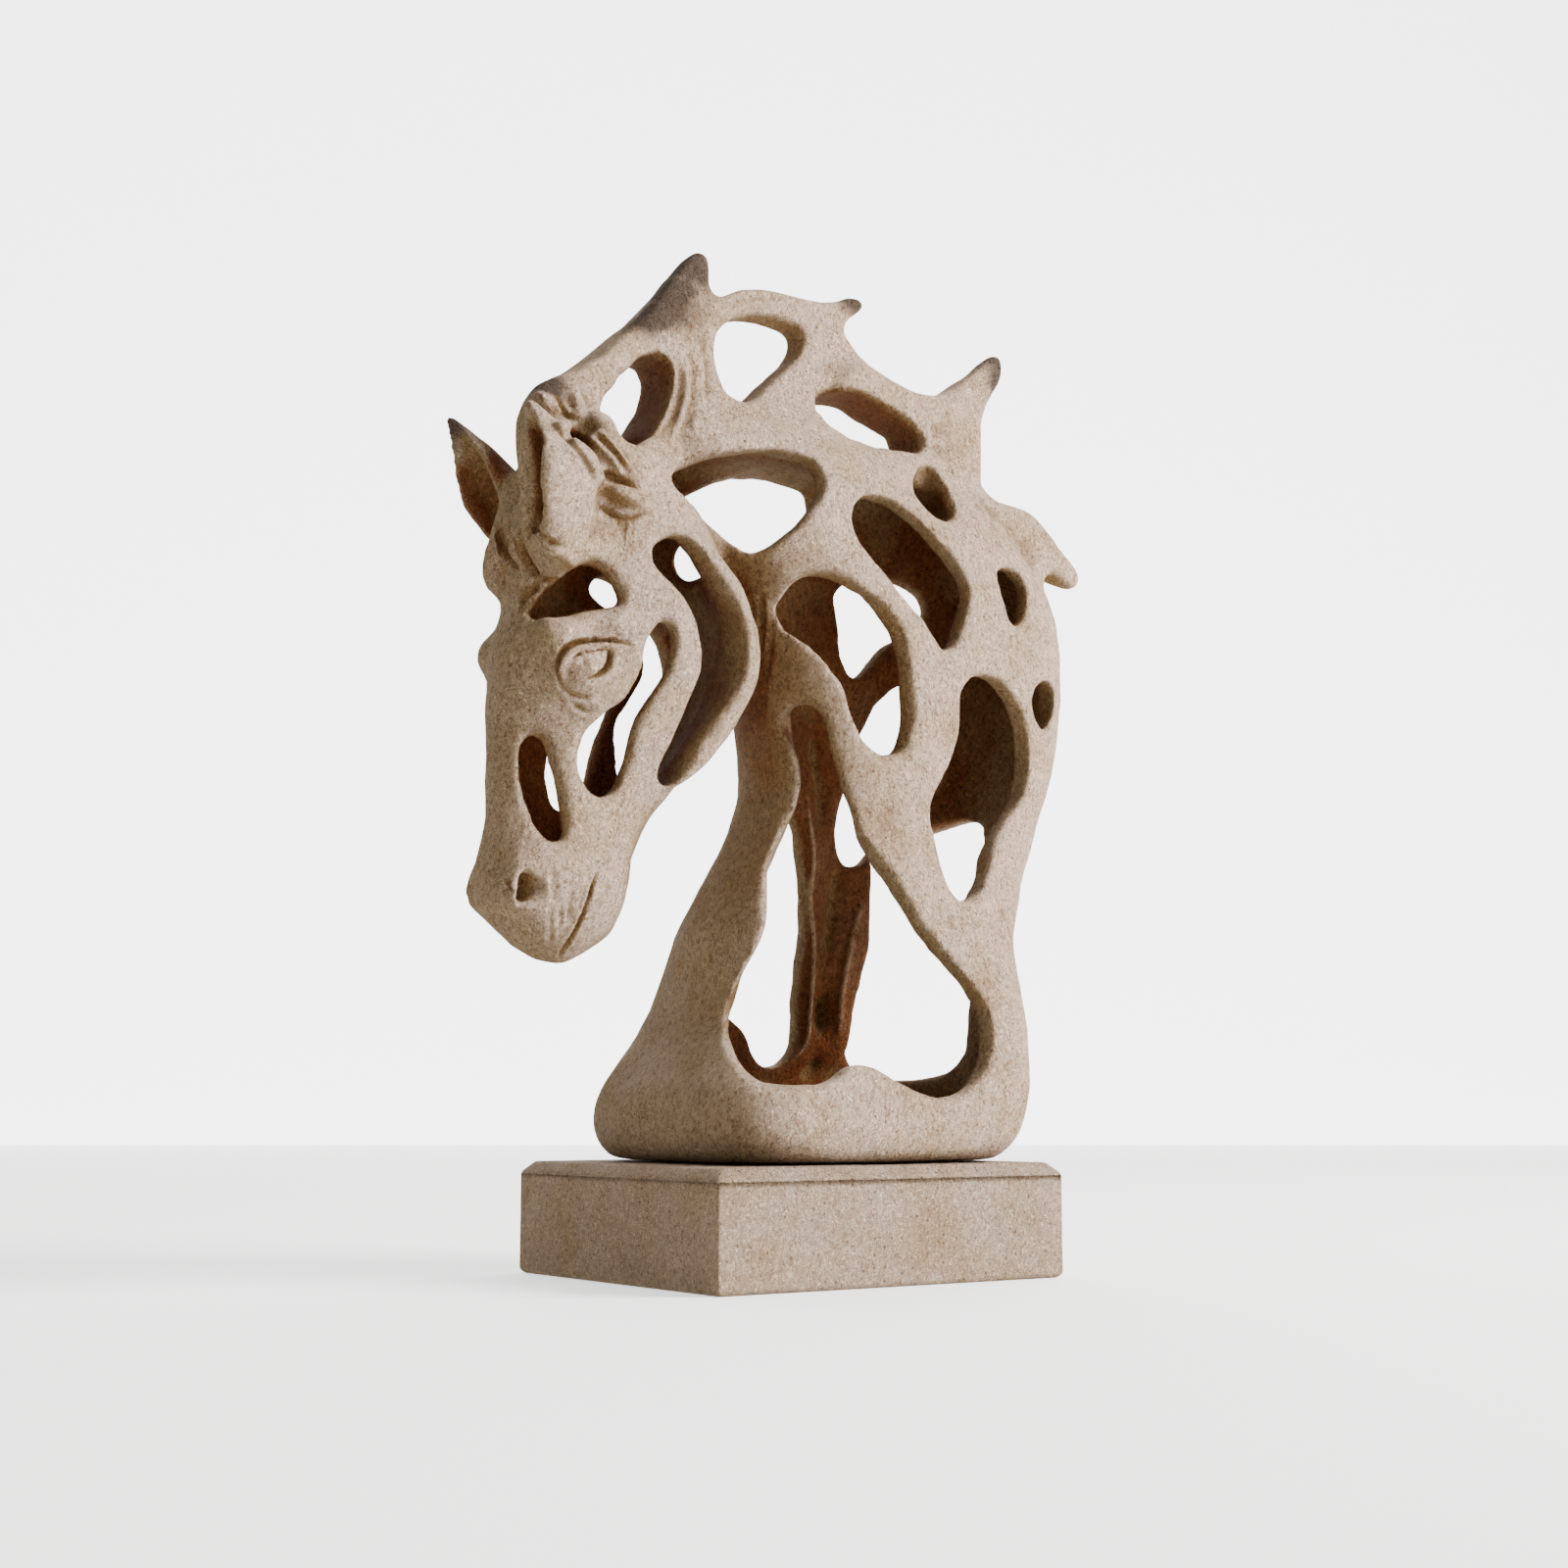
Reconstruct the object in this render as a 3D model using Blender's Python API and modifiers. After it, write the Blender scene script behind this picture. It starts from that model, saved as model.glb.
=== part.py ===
"""Openwork horse head and neck, cast as one hollow shell, standing on a rectangular plinth.

Units are metres. The head looks along -X, +Z is up, and the origin is the centre of the
plinth's underside. The figure's outlines are drawn in millimetres on a side view, between
the heights DRAWN_SEAT and DRAWN_TOP, and are scaled together to FIGURE_HEIGHT.
The near side is -Y and the far side is +Y.
"""

import math

import bmesh
import bpy
from mathutils import Vector

MM = 0.001

# Plinth
PLINTH_LENGTH = 167 * MM
PLINTH_WIDTH = 150 * MM
PLINTH_HEIGHT = 46 * MM
PLINTH_CHAMFER = 4.5 * MM
PLINTH_CORNER = 3 * MM
PLINTH_FOOT_BEVEL = 1.5 * MM

# Figure
FIGURE_HEIGHT = 380.7 * MM
SEAT_GAP = 0.3 * MM
NECK_WALL = 11 * MM
HEAD_WALL = 8.5 * MM
FLOOR = 11 * MM

# Fineness of the cast surface
FORM_VOXEL = 2.8 * MM
SHELL_VOXEL = 2.0 * MM
FORM_SMOOTHING = 2
EDGE_SMOOTHING = 5
FIGURE_TRIANGLES = 9400
RING_POINTS = 48
RINGS_BETWEEN = 3

STONE = (0.62, 0.53, 0.43, 1.0)
STONE_ROUGHNESS = 0.85

# Heights on the side view
DRAWN_SEAT = 46.3
DRAWN_TOP = 427.0

# How far the cutters reach: past the outside, and to just inside the hollow
DRAWN_OUTSIDE = 90.0
DRAWN_INSIDE = 12.0
OPENING_DEPTHS = {"chest": 22.0, "muzzle_slot": 0.0, "far_muzzle_slot": 0.0, "nape": 0.0,
                  "far_nape": 0.0, "brow_opening": 6.0}

SCALE = FIGURE_HEIGHT / (DRAWN_TOP - DRAWN_SEAT)
SEAT = PLINTH_HEIGHT + SEAT_GAP

# The front of the chest opening is drawn this far out, and runs back and up as it goes in
CHEST_PLANE = -50.0
CHEST_SLANT = (0.70, 0.10)

# Horizontal sections of the neck, from the seat up:
# height, front, back, half width, squareness, narrowing towards the back
NECK = (
    (46.3, -60, 77, 63, 4.0, 0.0),
    (50, -65, 81, 67, 4.0, 0.0),
    (58, -67.5, 86.5, 69, 4.6, 0.0),
    (72, -66, 90, 69.5, 4.6, 0.0),
    (85, -57.5, 92.5, 69, 4.4, 0.0),
    (100, -46.5, 94, 67, 4.0, 0.0),
    (118, -42, 95, 62, 3.6, 0.0),
    (131, -41, 98, 58, 3.2, 0.0),
    (143, -39.5, 102, 54.5, 2.8, 0.0),
    (165, -28, 111, 51, 2.6, 0.0),
    (185, -18.5, 120.5, 48, 2.5, 0.02),
    (205, -14, 131, 47, 2.5, 0.05),
    (230, -18, 139.5, 47, 2.4, 0.08),
    (255, -24, 144, 46, 2.4, 0.10),
    (280, -38, 145, 44, 2.3, 0.14),
    (300, -52, 139, 41, 2.3, 0.18),
    (320, -68, 125, 36, 2.2, 0.20),
    (338, -82, 112, 30, 2.2, 0.22),
    (352, -92, 103, 21, 2.2, 0.22),
    (364, -88, 92, 13, 2.2, 0.2),
    (374, -60, 76, 8, 2.2, 0.2),
)

# Horizontal sections of the head, from the lips up; a negative narrowing widens the cheeks
HEAD = (
    (123, -119, -105, 6, 2.2, -0.05),
    (127, -124, -99, 11, 2.2, -0.05),
    (134, -134, -89, 18, 2.3, -0.05),
    (145, -143, -83, 22.5, 2.3, -0.05),
    (155, -144, -81, 24.5, 2.3, -0.05),
    (165, -141.5, -81, 25, 2.3, -0.08),
    (178, -140, -75, 24, 2.3, -0.15),
    (192, -140.5, -63, 26, 2.3, -0.22),
    (208, -140.5, -53, 30, 2.3, -0.28),
    (225, -139.5, -44, 35, 2.3, -0.30),
    (242, -138.5, -37, 39, 2.3, -0.25),
    (258, -134, -34, 40, 2.3, -0.20),
    (275, -132, -38, 39, 2.3, -0.15),
    (292, -128, -46, 37, 2.3, -0.10),
    (308, -122, -54, 35, 2.3, -0.02),
    (322, -116, -62, 32, 2.2, 0.05),
    (336, -110, -68, 26, 2.2, 0.05),
    (350, -102, -72, 19, 2.2, 0.0),
)
HEAD_HOLLOW_FROM = 162.0
NECK_HOLLOW_TO = 343.0

# Locks of the mane that stand up along the crest: thickness at foot and at tip, the places
# of foot and tip, then the outline, all on the side view
MANE = {
    "forward_lock": (38, 9, (-62, 345), (-46, 424), (
        (-124, 344), (-102, 366), (-76, 392), (-60, 412), (-52, 424), (-46, 427), (-41, 425),
        (-43, 412), (-43, 400), (-40, 385), (-40, 355), (-60, 330), (-100, 326),
    )),
    "looped_lock": (24, 12, (-10, 355), (0, 416), (
        (-50, 388), (-42, 401), (-30, 412), (-12, 416.5), (9, 416), (24, 418), (33, 423),
        (40, 422), (41, 418), (34, 413.5), (28, 407), (30, 400), (44, 390), (56, 382),
        (50, 345), (-40, 345),
    )),
    "rear_lock": (30, 10, (80, 352), (117, 410), (
        (16, 362), (26, 387), (46, 385.5), (57, 382.5), (70, 382.5), (83, 387), (98, 398),
        (111, 410), (119, 414), (121, 408), (113, 393), (105, 381), (102, 366), (100, 350),
        (60, 330), (10, 340),
    )),
    "curled_lock": (30, 9, (110, 325), (165, 313), (
        (92, 337), (112, 339), (127, 338.5), (142, 333), (155, 322), (167, 316), (166, 308),
        (152, 308), (143, 312), (139, 298), (131, 284), (100, 290),
    )),
}

# Rounded locks, ridges and rims: points along each with the radius there
LOCKS = {
    "forelock_middle": ((-108, 4, 334, 8), (-118, 8, 318, 9), (-124, 11, 300, 9),
                        (-129, 13, 284, 8.5), (-128, 12, 270, 4.5)),
    "forelock_near": ((-108, -4, 334, 8), (-118, -7, 318, 8), (-125, -8, 302, 8),
                      (-129, -6, 286, 8), (-129, -2, 272, 4)),
    "forelock_side": ((-120, -14, 302, 6), (-126, -20, 292, 6), (-121, -27, 283, 5),
                      (-112, -32, 281, 3.5)),
    "forelock_far": ((-110, 14, 322, 8), (-115, 20, 304, 8), (-121, 23, 288, 7),
                     (-121, 23, 274, 5)),
    "poll_lock": ((-92, -4, 352, 9), (-112, -10, 349, 9), (-126, -13, 341, 9),
                  (-133, -15, 327, 7), (-131, -16, 310, 6)),
    "nape_lock_low": ((-114, -27, 323, 5.5), (-106, -31, 314, 5.5), (-98, -34, 307, 5),
                      (-89, -36, 303, 3)),
    "nape_lock_high": ((-112, -22, 337, 5.5), (-104, -28, 331, 5.5), (-96, -32, 321, 5),
                       (-88, -34, 311, 3)),
    "jaw_rim_near": ((-84, -34, 293, 4), (-71, -36, 287, 6), (-58, -37, 275, 7),
                     (-49, -37, 260, 7), (-46, -36, 243, 7), (-52, -33, 223, 6.5),
                     (-63, -29, 206, 6), (-75, -26, 192, 4)),
    "jaw_rim_far": ((-76, 34, 292, 4), (-62, 36, 291, 6), (-48, 37, 281, 6.5),
                    (-38, 37, 266, 6.5), (-34, 36, 248, 6.5), (-38, 34, 230, 6.5),
                    (-49, 31, 211, 6.5), (-64, 27, 195, 5)),
}

# Rounded swellings, made on both sides: centre and the three half sizes
SWELLINGS = {
    "brow": ((-124, 24, 246.5), (11, 9, 11)),
    "eye": ((-116, 27, 235), (11, 7, 8)),
    "nostril_rim": ((-133, 16, 151), (9, 8, 10)),
}

# Ears, open to the front, from root to tip:
# height, rim's place along, centre across, width, depth behind the rim
EAR = (
    (272, -126, 23, 16, 12),
    (284, -136, 27, 22, 20),
    (294, -140, 30, 26, 26),
    (303, -141, 31, 29, 28),
    (312, -141, 32, 28, 25),
    (320, -141.5, 32, 22, 19),
    (328, -142.5, 32, 14, 11),
    (333, -143.5, 32, 8, 6),
    (338, -144.5, 32, 3, 2),
)
EAR_HOLLOW = (
    (284, -136, 28, 4, 3),
    (292, -139, 30, 16, 13),
    (303, -141, 31, 20, 19),
    (313, -141, 32, 19, 17),
    (321, -141.5, 32, 14, 11),
    (330, -143, 32, 5, 4),
)
EAR_FACING = math.radians(-8)
EAR_FRONT = 3.0
EAR_HOLLOW_FRONT = 14.0
# Each ear's side, how far its root and its tip lie back, and how much higher it is
EARS = {"near": (-1, 0.0, 0.0, 0.0), "far": (1, 23.0, -3.0, 10.0)}

# Openings right through the mane
MANE_OPENINGS = {
    "forward_lock_eye": ((-101, 346), (-95, 355), (-85, 366), (-77, 372), (-70, 372),
                         (-67, 365), (-69, 355), (-75, 344), (-82, 335), (-91, 328),
                         (-99, 325), (-103, 335)),
    "looped_lock_eye": ((-39, 393), (-28, 399), (-16, 402), (-5, 402), (3, 399), (2, 391),
                        (-8, 379), (-18, 369), (-27, 361), (-36, 359), (-42, 366),
                        (-44, 377), (-43, 386)),
    "crest_slot": ((10, 370), (20, 374), (31, 375), (43, 371), (55, 368), (64, 362),
                   (62, 354), (51, 353), (40, 351), (28, 350), (17, 353), (9, 360)),
}

# Openings in the near and the far side of the head
NEAR_FACE_OPENINGS = {
    "cheek_slot": ((-90, 282), (-85, 288), (-79, 291), (-72, 287), (-65, 278), (-58, 270),
                   (-52, 261), (-49, 250), (-49, 240), (-53, 231), (-60, 220), (-68, 207),
                   (-76, 193), (-79, 196), (-75, 210), (-71, 226), (-67, 238), (-68, 249),
                   (-72, 260), (-80, 269)),
    "cheek_hook": ((-88, 254), (-84, 256), (-80, 248), (-83, 236), (-90, 223), (-94, 211),
                   (-96, 198), (-100, 188), (-105, 186), (-111, 191), (-114, 200),
                   (-112, 210), (-106, 218), (-98, 224), (-93, 235), (-92, 246)),
    "muzzle_slot": ((-132, 207), (-129, 210), (-126, 207), (-123, 198), (-120, 188),
                    (-118, 177), (-120, 168), (-123, 167), (-127, 172), (-131, 185),
                    (-133, 197)),
    "brow_opening": ((-130, 255), (-128, 262), (-122, 270), (-115, 276), (-108, 274),
                     (-104, 268), (-101, 261), (-109, 259), (-118, 257), (-125, 254)),
}
FAR_FACE_OPENINGS = {
    "far_cheek_slot": ((-79, 283), (-71, 288), (-62, 284), (-52, 276), (-43, 266),
                       (-38, 255), (-38, 243), (-43, 230), (-52, 216), (-62, 203),
                       (-70, 198), (-70, 210), (-66, 226), (-58, 238), (-53, 250),
                       (-55, 262), (-62, 271), (-71, 276)),
    "far_cheek_hook": ((-76, 256), (-69, 256), (-64, 246), (-67, 235), (-74, 223),
                       (-79, 211), (-85, 198), (-91, 188), (-99, 185), (-104, 191),
                       (-104, 202), (-101, 210), (-94, 217), (-86, 224), (-81, 236)),
    "far_muzzle_slot": ((-133, 206), (-128, 209), (-121, 197), (-117, 182), (-120, 172),
                        (-127, 173), (-133, 189)),
}

# Openings in the near wall of the neck
NEAR_OPENINGS = {
    "nape": ((-78, 313), (-70, 321), (-57, 328), (-40, 333), (-18, 336), (-7, 332),
             (-5, 325), (-12, 312), (-25, 299), (-34, 293), (-41, 297), (-52, 305),
             (-66, 309)),
    "upper_slot": ((7, 309), (10, 317), (17, 322), (26, 323), (36, 320), (46, 313),
                   (56, 305), (63, 297), (67, 286), (64, 278), (57, 264), (50, 258),
                   (45, 262), (40, 270), (32, 276), (24, 286), (15, 294), (8, 302)),
    "upper_drop": ((49, 334), (54, 341), (60, 346), (65, 348), (68, 342), (71, 332),
                   (70, 323), (62, 319), (54, 321), (48, 327)),
    "curl_drop": ((91, 300), (101, 303), (109, 300), (108, 291), (101, 279), (94, 276),
                  (90, 285)),
    "middle": ((-22, 271), (-20, 278), (-15, 284), (-6, 285), (5, 281), (14, 276),
               (22, 270), (27, 262), (29.5, 250), (31, 238), (30, 222), (27, 214), (20, 211),
               (14, 214), (8, 224), (4, 236), (-2, 247), (-10, 256), (-18, 263)),
    "hind": ((58, 240), (62, 246), (76, 250), (88, 244), (95, 234), (99, 217), (95, 200),
             (84, 190), (74, 177), (66, 160), (58, 153), (50, 154), (45, 165), (42, 178),
             (41, 190), (51, 208), (58, 225)),
    "hind_drop": ((102, 245), (112, 252), (121, 253), (121, 240), (112, 232), (103, 238)),
    "chest": ((4, 179), (9, 172), (17, 161), (24, 149), (30, 139), (38, 129), (47, 118),
              (54, 108), (55, 96), (50, 83), (40, 74.5), (27, 72), (13, 74.5), (3, 80),
              (-7, 84), (-16, 84), (-26, 78), (-36, 77), (-40, 92), (-36, 120), (-22, 150),
              (-8, 174)),
    "chest_front": ((-38, 222), (-30, 230), (-22, 229), (-16, 222), (-13, 211),
                    (-9, 196), (-3, 183), (0, 160), (4, 120), (4, 90), (-6, 86),
                    (-22, 79), (-37, 77), (-51, 79), (-60, 86), (-64, 97), (-62, 109),
                    (-53, 124), (-45, 140), (-45, 160), (-38, 175), (-29, 190),
                    (-28, 203), (-33, 214)),
}

# Openings in the far wall of the neck
FAR_OPENINGS = {
    "far_nape": ((-62, 312), (-44, 297), (-22, 288), (-4, 298), (10, 308), (24, 318),
                 (31, 326), (29, 335), (18, 339), (-10, 339), (-28, 331), (-48, 319)),
    "far_chest": ((-21, 128), (-7, 115), (7, 108), (18, 101), (23, 92), (29, 86), (39, 86),
                  (47, 97), (43, 113), (42, 128), (41, 150), (37, 175), (31, 195), (20, 207),
                  (5, 200), (-6, 182), (-16, 152)),
    "far_hind": ((57, 178), (61, 217), (70, 240), (82, 255), (92, 260), (99, 258),
                 (103, 245), (106, 230), (107, 217), (98, 206), (88, 196), (77, 185),
                 (66, 175)),
    "far_shoulder": ((50, 298), (53, 284), (57, 265), (64, 260), (72, 268), (81, 278),
                     (94, 284), (95, 297), (84, 304), (64, 305)),
}
# The hind opening of the far wall runs round the back corner into an opening in the back
# wall, which is drawn on the back view, across and up
FAR_OPENINGS["far_flank"] = ((72, 86), (72, 103), (72, 120), (73, 134), (76, 146), (81, 155),
                             (89, 163), (100, 171), (114, 181), (132, 186), (124, 160),
                             (116, 120), (112, 88), (86, 80))
BACK_OPENING = ((-11, 88), (-15, 104), (-14, 126), (-9, 148), (-2, 169), (6, 187), (16, 196),
                (28, 194), (42, 182), (54, 162), (60, 130), (58, 100), (44, 84), (14, 80))
BACK_OPENING_FROM = 74.0

# A passage from the head's hollow to the neck's, and the muzzle's small cuts
GULLET = ((-68, -22, 285, 8), (-50, -2, 291, 8), (-34, 20, 296, 8))
NOSTRIL = ((-133, 21, 149), 6)
MOUTH = ((-104, 26, 157, 1.6), (-107, 24, 144, 2.2), (-112, 19, 133, 2.2), (-116, 12, 127, 1.6))


def drawn(x, y, z):
    """A point drawn in millimetres on the side view, as a place on the model."""
    return Vector((x * SCALE, y * SCALE, SEAT + (z - DRAWN_SEAT) * SCALE))


def stone_material(name):
    material = bpy.data.materials.new(name)
    material.use_nodes = True
    shader = material.node_tree.nodes["Principled BSDF"]
    shader.inputs["Base Color"].default_value = STONE
    shader.inputs["Roughness"].default_value = STONE_ROUGHNESS
    shader.inputs["Metallic"].default_value = 0.0
    return material


def new_collection(name):
    collection = bpy.data.collections.new(name)
    bpy.context.scene.collection.children.link(collection)
    return collection


def mesh_object(name, shape, collection):
    mesh = bpy.data.meshes.new(name)
    shape.to_mesh(mesh)
    shape.free()
    obj = bpy.data.objects.new(name, mesh)
    collection.objects.link(obj)
    return obj


def settled(obj):
    """The object with its modifiers or its curve turned into a plain welded mesh."""
    bpy.context.view_layer.update()
    graph = bpy.context.evaluated_depsgraph_get()
    mesh = bpy.data.meshes.new_from_object(obj.evaluated_get(graph))
    mesh.transform(obj.matrix_world)
    shape = bmesh.new()
    shape.from_mesh(mesh)
    bmesh.ops.remove_doubles(shape, verts=shape.verts, dist=0.00001)
    shape.to_mesh(mesh)
    shape.free()
    name = obj.name
    collection = obj.users_collection[0]
    bpy.data.objects.remove(obj)
    plain = bpy.data.objects.new(name, mesh)
    collection.objects.link(plain)
    return plain


def joined(name, pieces, collection):
    """One object holding the meshes of several, which may still overlap."""
    shape = bmesh.new()
    for piece in pieces:
        shape.from_mesh(piece.data)
        bpy.data.objects.remove(piece)
    return mesh_object(name, shape, collection)


def fused(obj, voxel, smoothing):
    """The object made one skin, with its edges softened."""
    remesh = obj.modifiers.new("fuse", "REMESH")
    remesh.mode = "VOXEL"
    remesh.voxel_size = voxel
    soften = obj.modifiers.new("soften", "SMOOTH")
    soften.factor = 0.5
    soften.iterations = smoothing
    return settled(obj)


def smooth_rows(rows, between):
    """The rows with more put in between them, on a smooth curve through them."""
    out = []
    for i in range(len(rows) - 1):
        before = rows[max(i - 1, 0)]
        after = rows[min(i + 2, len(rows) - 1)]
        for step in range(between):
            t = step / between
            out.append([
                0.5 * (2 * b + (c - a) * t + (2 * a - 5 * b + 4 * c - d) * t * t
                       + (3 * b - a - 3 * c + d) * t ** 3)
                for a, b, c, d in zip(before, rows[i], rows[i + 1], after)
            ])
    out.append(list(rows[-1]))
    return out


def section_ring(section, wall):
    """The points round one horizontal section, drawn in by the wall's thickness."""
    height, front, back, half_width, squareness, narrowing = section
    middle = (front + back) / 2
    reach = (back - front) / 2 - wall / SCALE
    width = half_width - wall / SCALE
    ring = []
    for i in range(RING_POINTS):
        angle = 2 * math.pi * i / RING_POINTS
        c, s = math.cos(angle), math.sin(angle)
        along = math.copysign(abs(c) ** (2 / squareness), c)
        across = math.copysign(abs(s) ** (2 / squareness), s)
        ring.append(drawn(middle + reach * along, width * across * (1 - narrowing * along), height))
    return ring


def lofted(name, rings, collection):
    """A closed skin through rings of points, with flat ends."""
    shape = bmesh.new()
    loops = [[shape.verts.new(point) for point in ring] for ring in rings]
    for low, high in zip(loops, loops[1:]):
        for i in range(len(low)):
            j = (i + 1) % len(low)
            shape.faces.new((low[i], low[j], high[j], high[i]))
    shape.faces.new(list(reversed(loops[0])))
    shape.faces.new(loops[-1])
    bmesh.ops.recalc_face_normals(shape, faces=shape.faces)
    return mesh_object(name, shape, collection)


def body(name, sections, wall, collection, low=0.0, high=1000.0):
    rows = [row for row in smooth_rows(sections, RINGS_BETWEEN) if low <= row[0] <= high]
    inner = [row for row in rows if row[3] * SCALE > wall + 1.5 * MM]
    return lofted(name, [section_ring(row, wall) for row in inner], collection)


def outline_curve(name, outline, collection):
    """A filled flat outline on the side view, smooth through its points."""
    curve = bpy.data.curves.new(name, "CURVE")
    curve.dimensions = "2D"
    curve.fill_mode = "BOTH"
    curve.resolution_u = 4
    spline = curve.splines.new("BEZIER")
    spline.bezier_points.add(len(outline) - 1)
    spline.use_cyclic_u = True
    for point, (x, z) in zip(spline.bezier_points, outline):
        place = drawn(x, 0, z)
        point.co = (place.x, place.z, 0)
        point.handle_left_type = "AUTO"
        point.handle_right_type = "AUTO"
    obj = bpy.data.objects.new(name, curve)
    collection.objects.link(obj)
    return obj


def slab(name, outline, low, high, collection, on_back=False):
    """The outline made solid from low to high, across the figure or, on the back, along it."""
    obj = outline_curve(name, outline, collection)
    obj.data.extrude = (high - low) / 2 * SCALE
    obj.rotation_euler = (math.radians(90), 0, math.radians(90) if on_back else 0)
    obj.location[0 if on_back else 1] = (low + high) / 2 * SCALE
    return settled(obj)


def mane_lock(name, lock, collection):
    """A standing lock that thins from its foot to its tip."""
    foot_thickness, tip_thickness, foot, tip, outline = lock
    obj = slab(name, outline, -foot_thickness / 2, foot_thickness / 2, collection)
    base = drawn(foot[0], 0, foot[1])
    rise = drawn(tip[0], 0, tip[1]) - base
    for vertex in obj.data.vertices:
        share = (vertex.co - base).dot(rise) / rise.length_squared
        share = min(max(share, 0.0), 1.0)
        vertex.co.y *= 1 + (tip_thickness / foot_thickness - 1) * share
    return obj


def slanted(obj, plane, slant):
    """The slab leant so that it runs back and up on its way in from the plane."""
    for vertex in obj.data.vertices:
        inward = vertex.co.y - plane * SCALE
        vertex.co.x += slant[0] * inward
        vertex.co.z += slant[1] * inward
    return obj


def tapered_tube(name, points, collection):
    """A round lock or ridge through points that each have a radius."""
    curve = bpy.data.curves.new(name, "CURVE")
    curve.dimensions = "3D"
    curve.bevel_depth = 1.0 * SCALE
    curve.bevel_resolution = 3
    curve.resolution_u = 6
    curve.use_fill_caps = True
    spline = curve.splines.new("BEZIER")
    spline.bezier_points.add(len(points) - 1)
    for point, (x, y, z, radius) in zip(spline.bezier_points, points):
        point.co = drawn(x, y, z)
        point.radius = radius
        point.handle_left_type = "AUTO"
        point.handle_right_type = "AUTO"
    obj = bpy.data.objects.new(name, curve)
    collection.objects.link(obj)
    return settled(obj)


def ellipsoid(name, centre, half_sizes, collection):
    shape = bmesh.new()
    bmesh.ops.create_uvsphere(shape, u_segments=20, v_segments=12, radius=1.0)
    bmesh.ops.scale(shape, vec=Vector(half_sizes) * SCALE, verts=shape.verts)
    bmesh.ops.translate(shape, vec=drawn(*centre), verts=shape.verts)
    return mesh_object(name, shape, collection)


def leaf(name, rows, ear, front, collection):
    """An ear, or its hollow: half ovals behind its rim and flatter ones before it."""
    side, root_back, tip_back, up = ear
    facing = Vector((-math.cos(EAR_FACING), side * math.sin(EAR_FACING)))
    broad = Vector((-facing.y, facing.x))
    root, tip = EAR[0][0], EAR[-1][0]
    rings = []
    for height, rim, across, width, depth in smooth_rows(rows, RINGS_BETWEEN):
        share = (height - root) / (tip - root)
        back = root_back + (tip_back - root_back) * share
        ring = []
        for i in range(RING_POINTS // 2):
            angle = 4 * math.pi * i / RING_POINTS
            reach = min(front, width) if math.sin(angle) > 0 else depth
            offset = broad * (width / 2 * math.cos(angle)) + facing * (reach * math.sin(angle))
            ring.append(drawn(rim + back + offset.x, side * across + offset.y, height + up))
        rings.append(ring)
    return lofted(name, rings, collection)


def mirrored(point, side):
    return (point[0], side * point[1]) + tuple(point[2:])


def solid_form(collection):
    """The whole figure before it is hollowed and opened."""
    pieces = [body("neck", NECK, 0.0, collection), body("head", HEAD, 0.0, collection)]
    for name, lock in MANE.items():
        pieces.append(mane_lock(name, lock, collection))
    for name, points in LOCKS.items():
        pieces.append(tapered_tube(name, points, collection))
    for name, (centre, half_sizes) in SWELLINGS.items():
        for side in (-1, 1):
            pieces.append(ellipsoid(name, mirrored(centre, side), half_sizes, collection))
    for name, ear in EARS.items():
        pieces.append(leaf(name + "_ear", EAR, ear, EAR_FRONT, collection))
    form = joined("form", pieces, collection)
    return fused(form, FORM_VOXEL, FORM_SMOOTHING)


def cutters(collection):
    """The hollow and every opening, each a closed solid in the cutters' collection."""
    made = [
        body("neck_hollow", NECK, NECK_WALL, collection,
             DRAWN_SEAT + FLOOR / SCALE, NECK_HOLLOW_TO),
        body("head_hollow", HEAD, HEAD_WALL, collection, HEAD_HOLLOW_FROM),
        tapered_tube("gullet", GULLET, collection),
    ]
    near = {**NEAR_FACE_OPENINGS, **NEAR_OPENINGS}
    far = {**FAR_FACE_OPENINGS, **FAR_OPENINGS}
    for name, outline in MANE_OPENINGS.items():
        made.append(slab(name, outline, -DRAWN_OUTSIDE, DRAWN_OUTSIDE, collection))
    for name, outline in near.items():
        inside = OPENING_DEPTHS.get(name, DRAWN_INSIDE)
        made.append(slab(name, outline, -DRAWN_OUTSIDE, -inside, collection))
        if name == "chest_front":
            slanted(made[-1], CHEST_PLANE, CHEST_SLANT)
    for name, outline in far.items():
        inside = OPENING_DEPTHS.get(name, DRAWN_INSIDE)
        made.append(slab(name, outline, inside, DRAWN_OUTSIDE, collection))
    made.append(slab("back", BACK_OPENING, BACK_OPENING_FROM, 2 * DRAWN_OUTSIDE, collection,
                     on_back=True))
    for side in (-1, 1):
        centre, radius = NOSTRIL
        made.append(ellipsoid("nostril", mirrored(centre, side), (radius,) * 3, collection))
        lips = [mirrored(point, side) for point in MOUTH]
        made.append(tapered_tube("mouth", lips, collection))
    for name, ear in EARS.items():
        made.append(leaf(name + "_ear_hollow", EAR_HOLLOW, ear, EAR_HOLLOW_FRONT, collection))
    for cutter in made:
        cutter.hide_render = True
        cutter.display_type = "WIRE"
    return made


def carve(form, collection):
    """Cut the hollow and the openings out of the form."""
    cut = form.modifiers.new("openings", "BOOLEAN")
    cut.operation = "DIFFERENCE"
    cut.solver = "EXACT"
    cut.operand_type = "COLLECTION"
    cut.collection = collection


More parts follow.
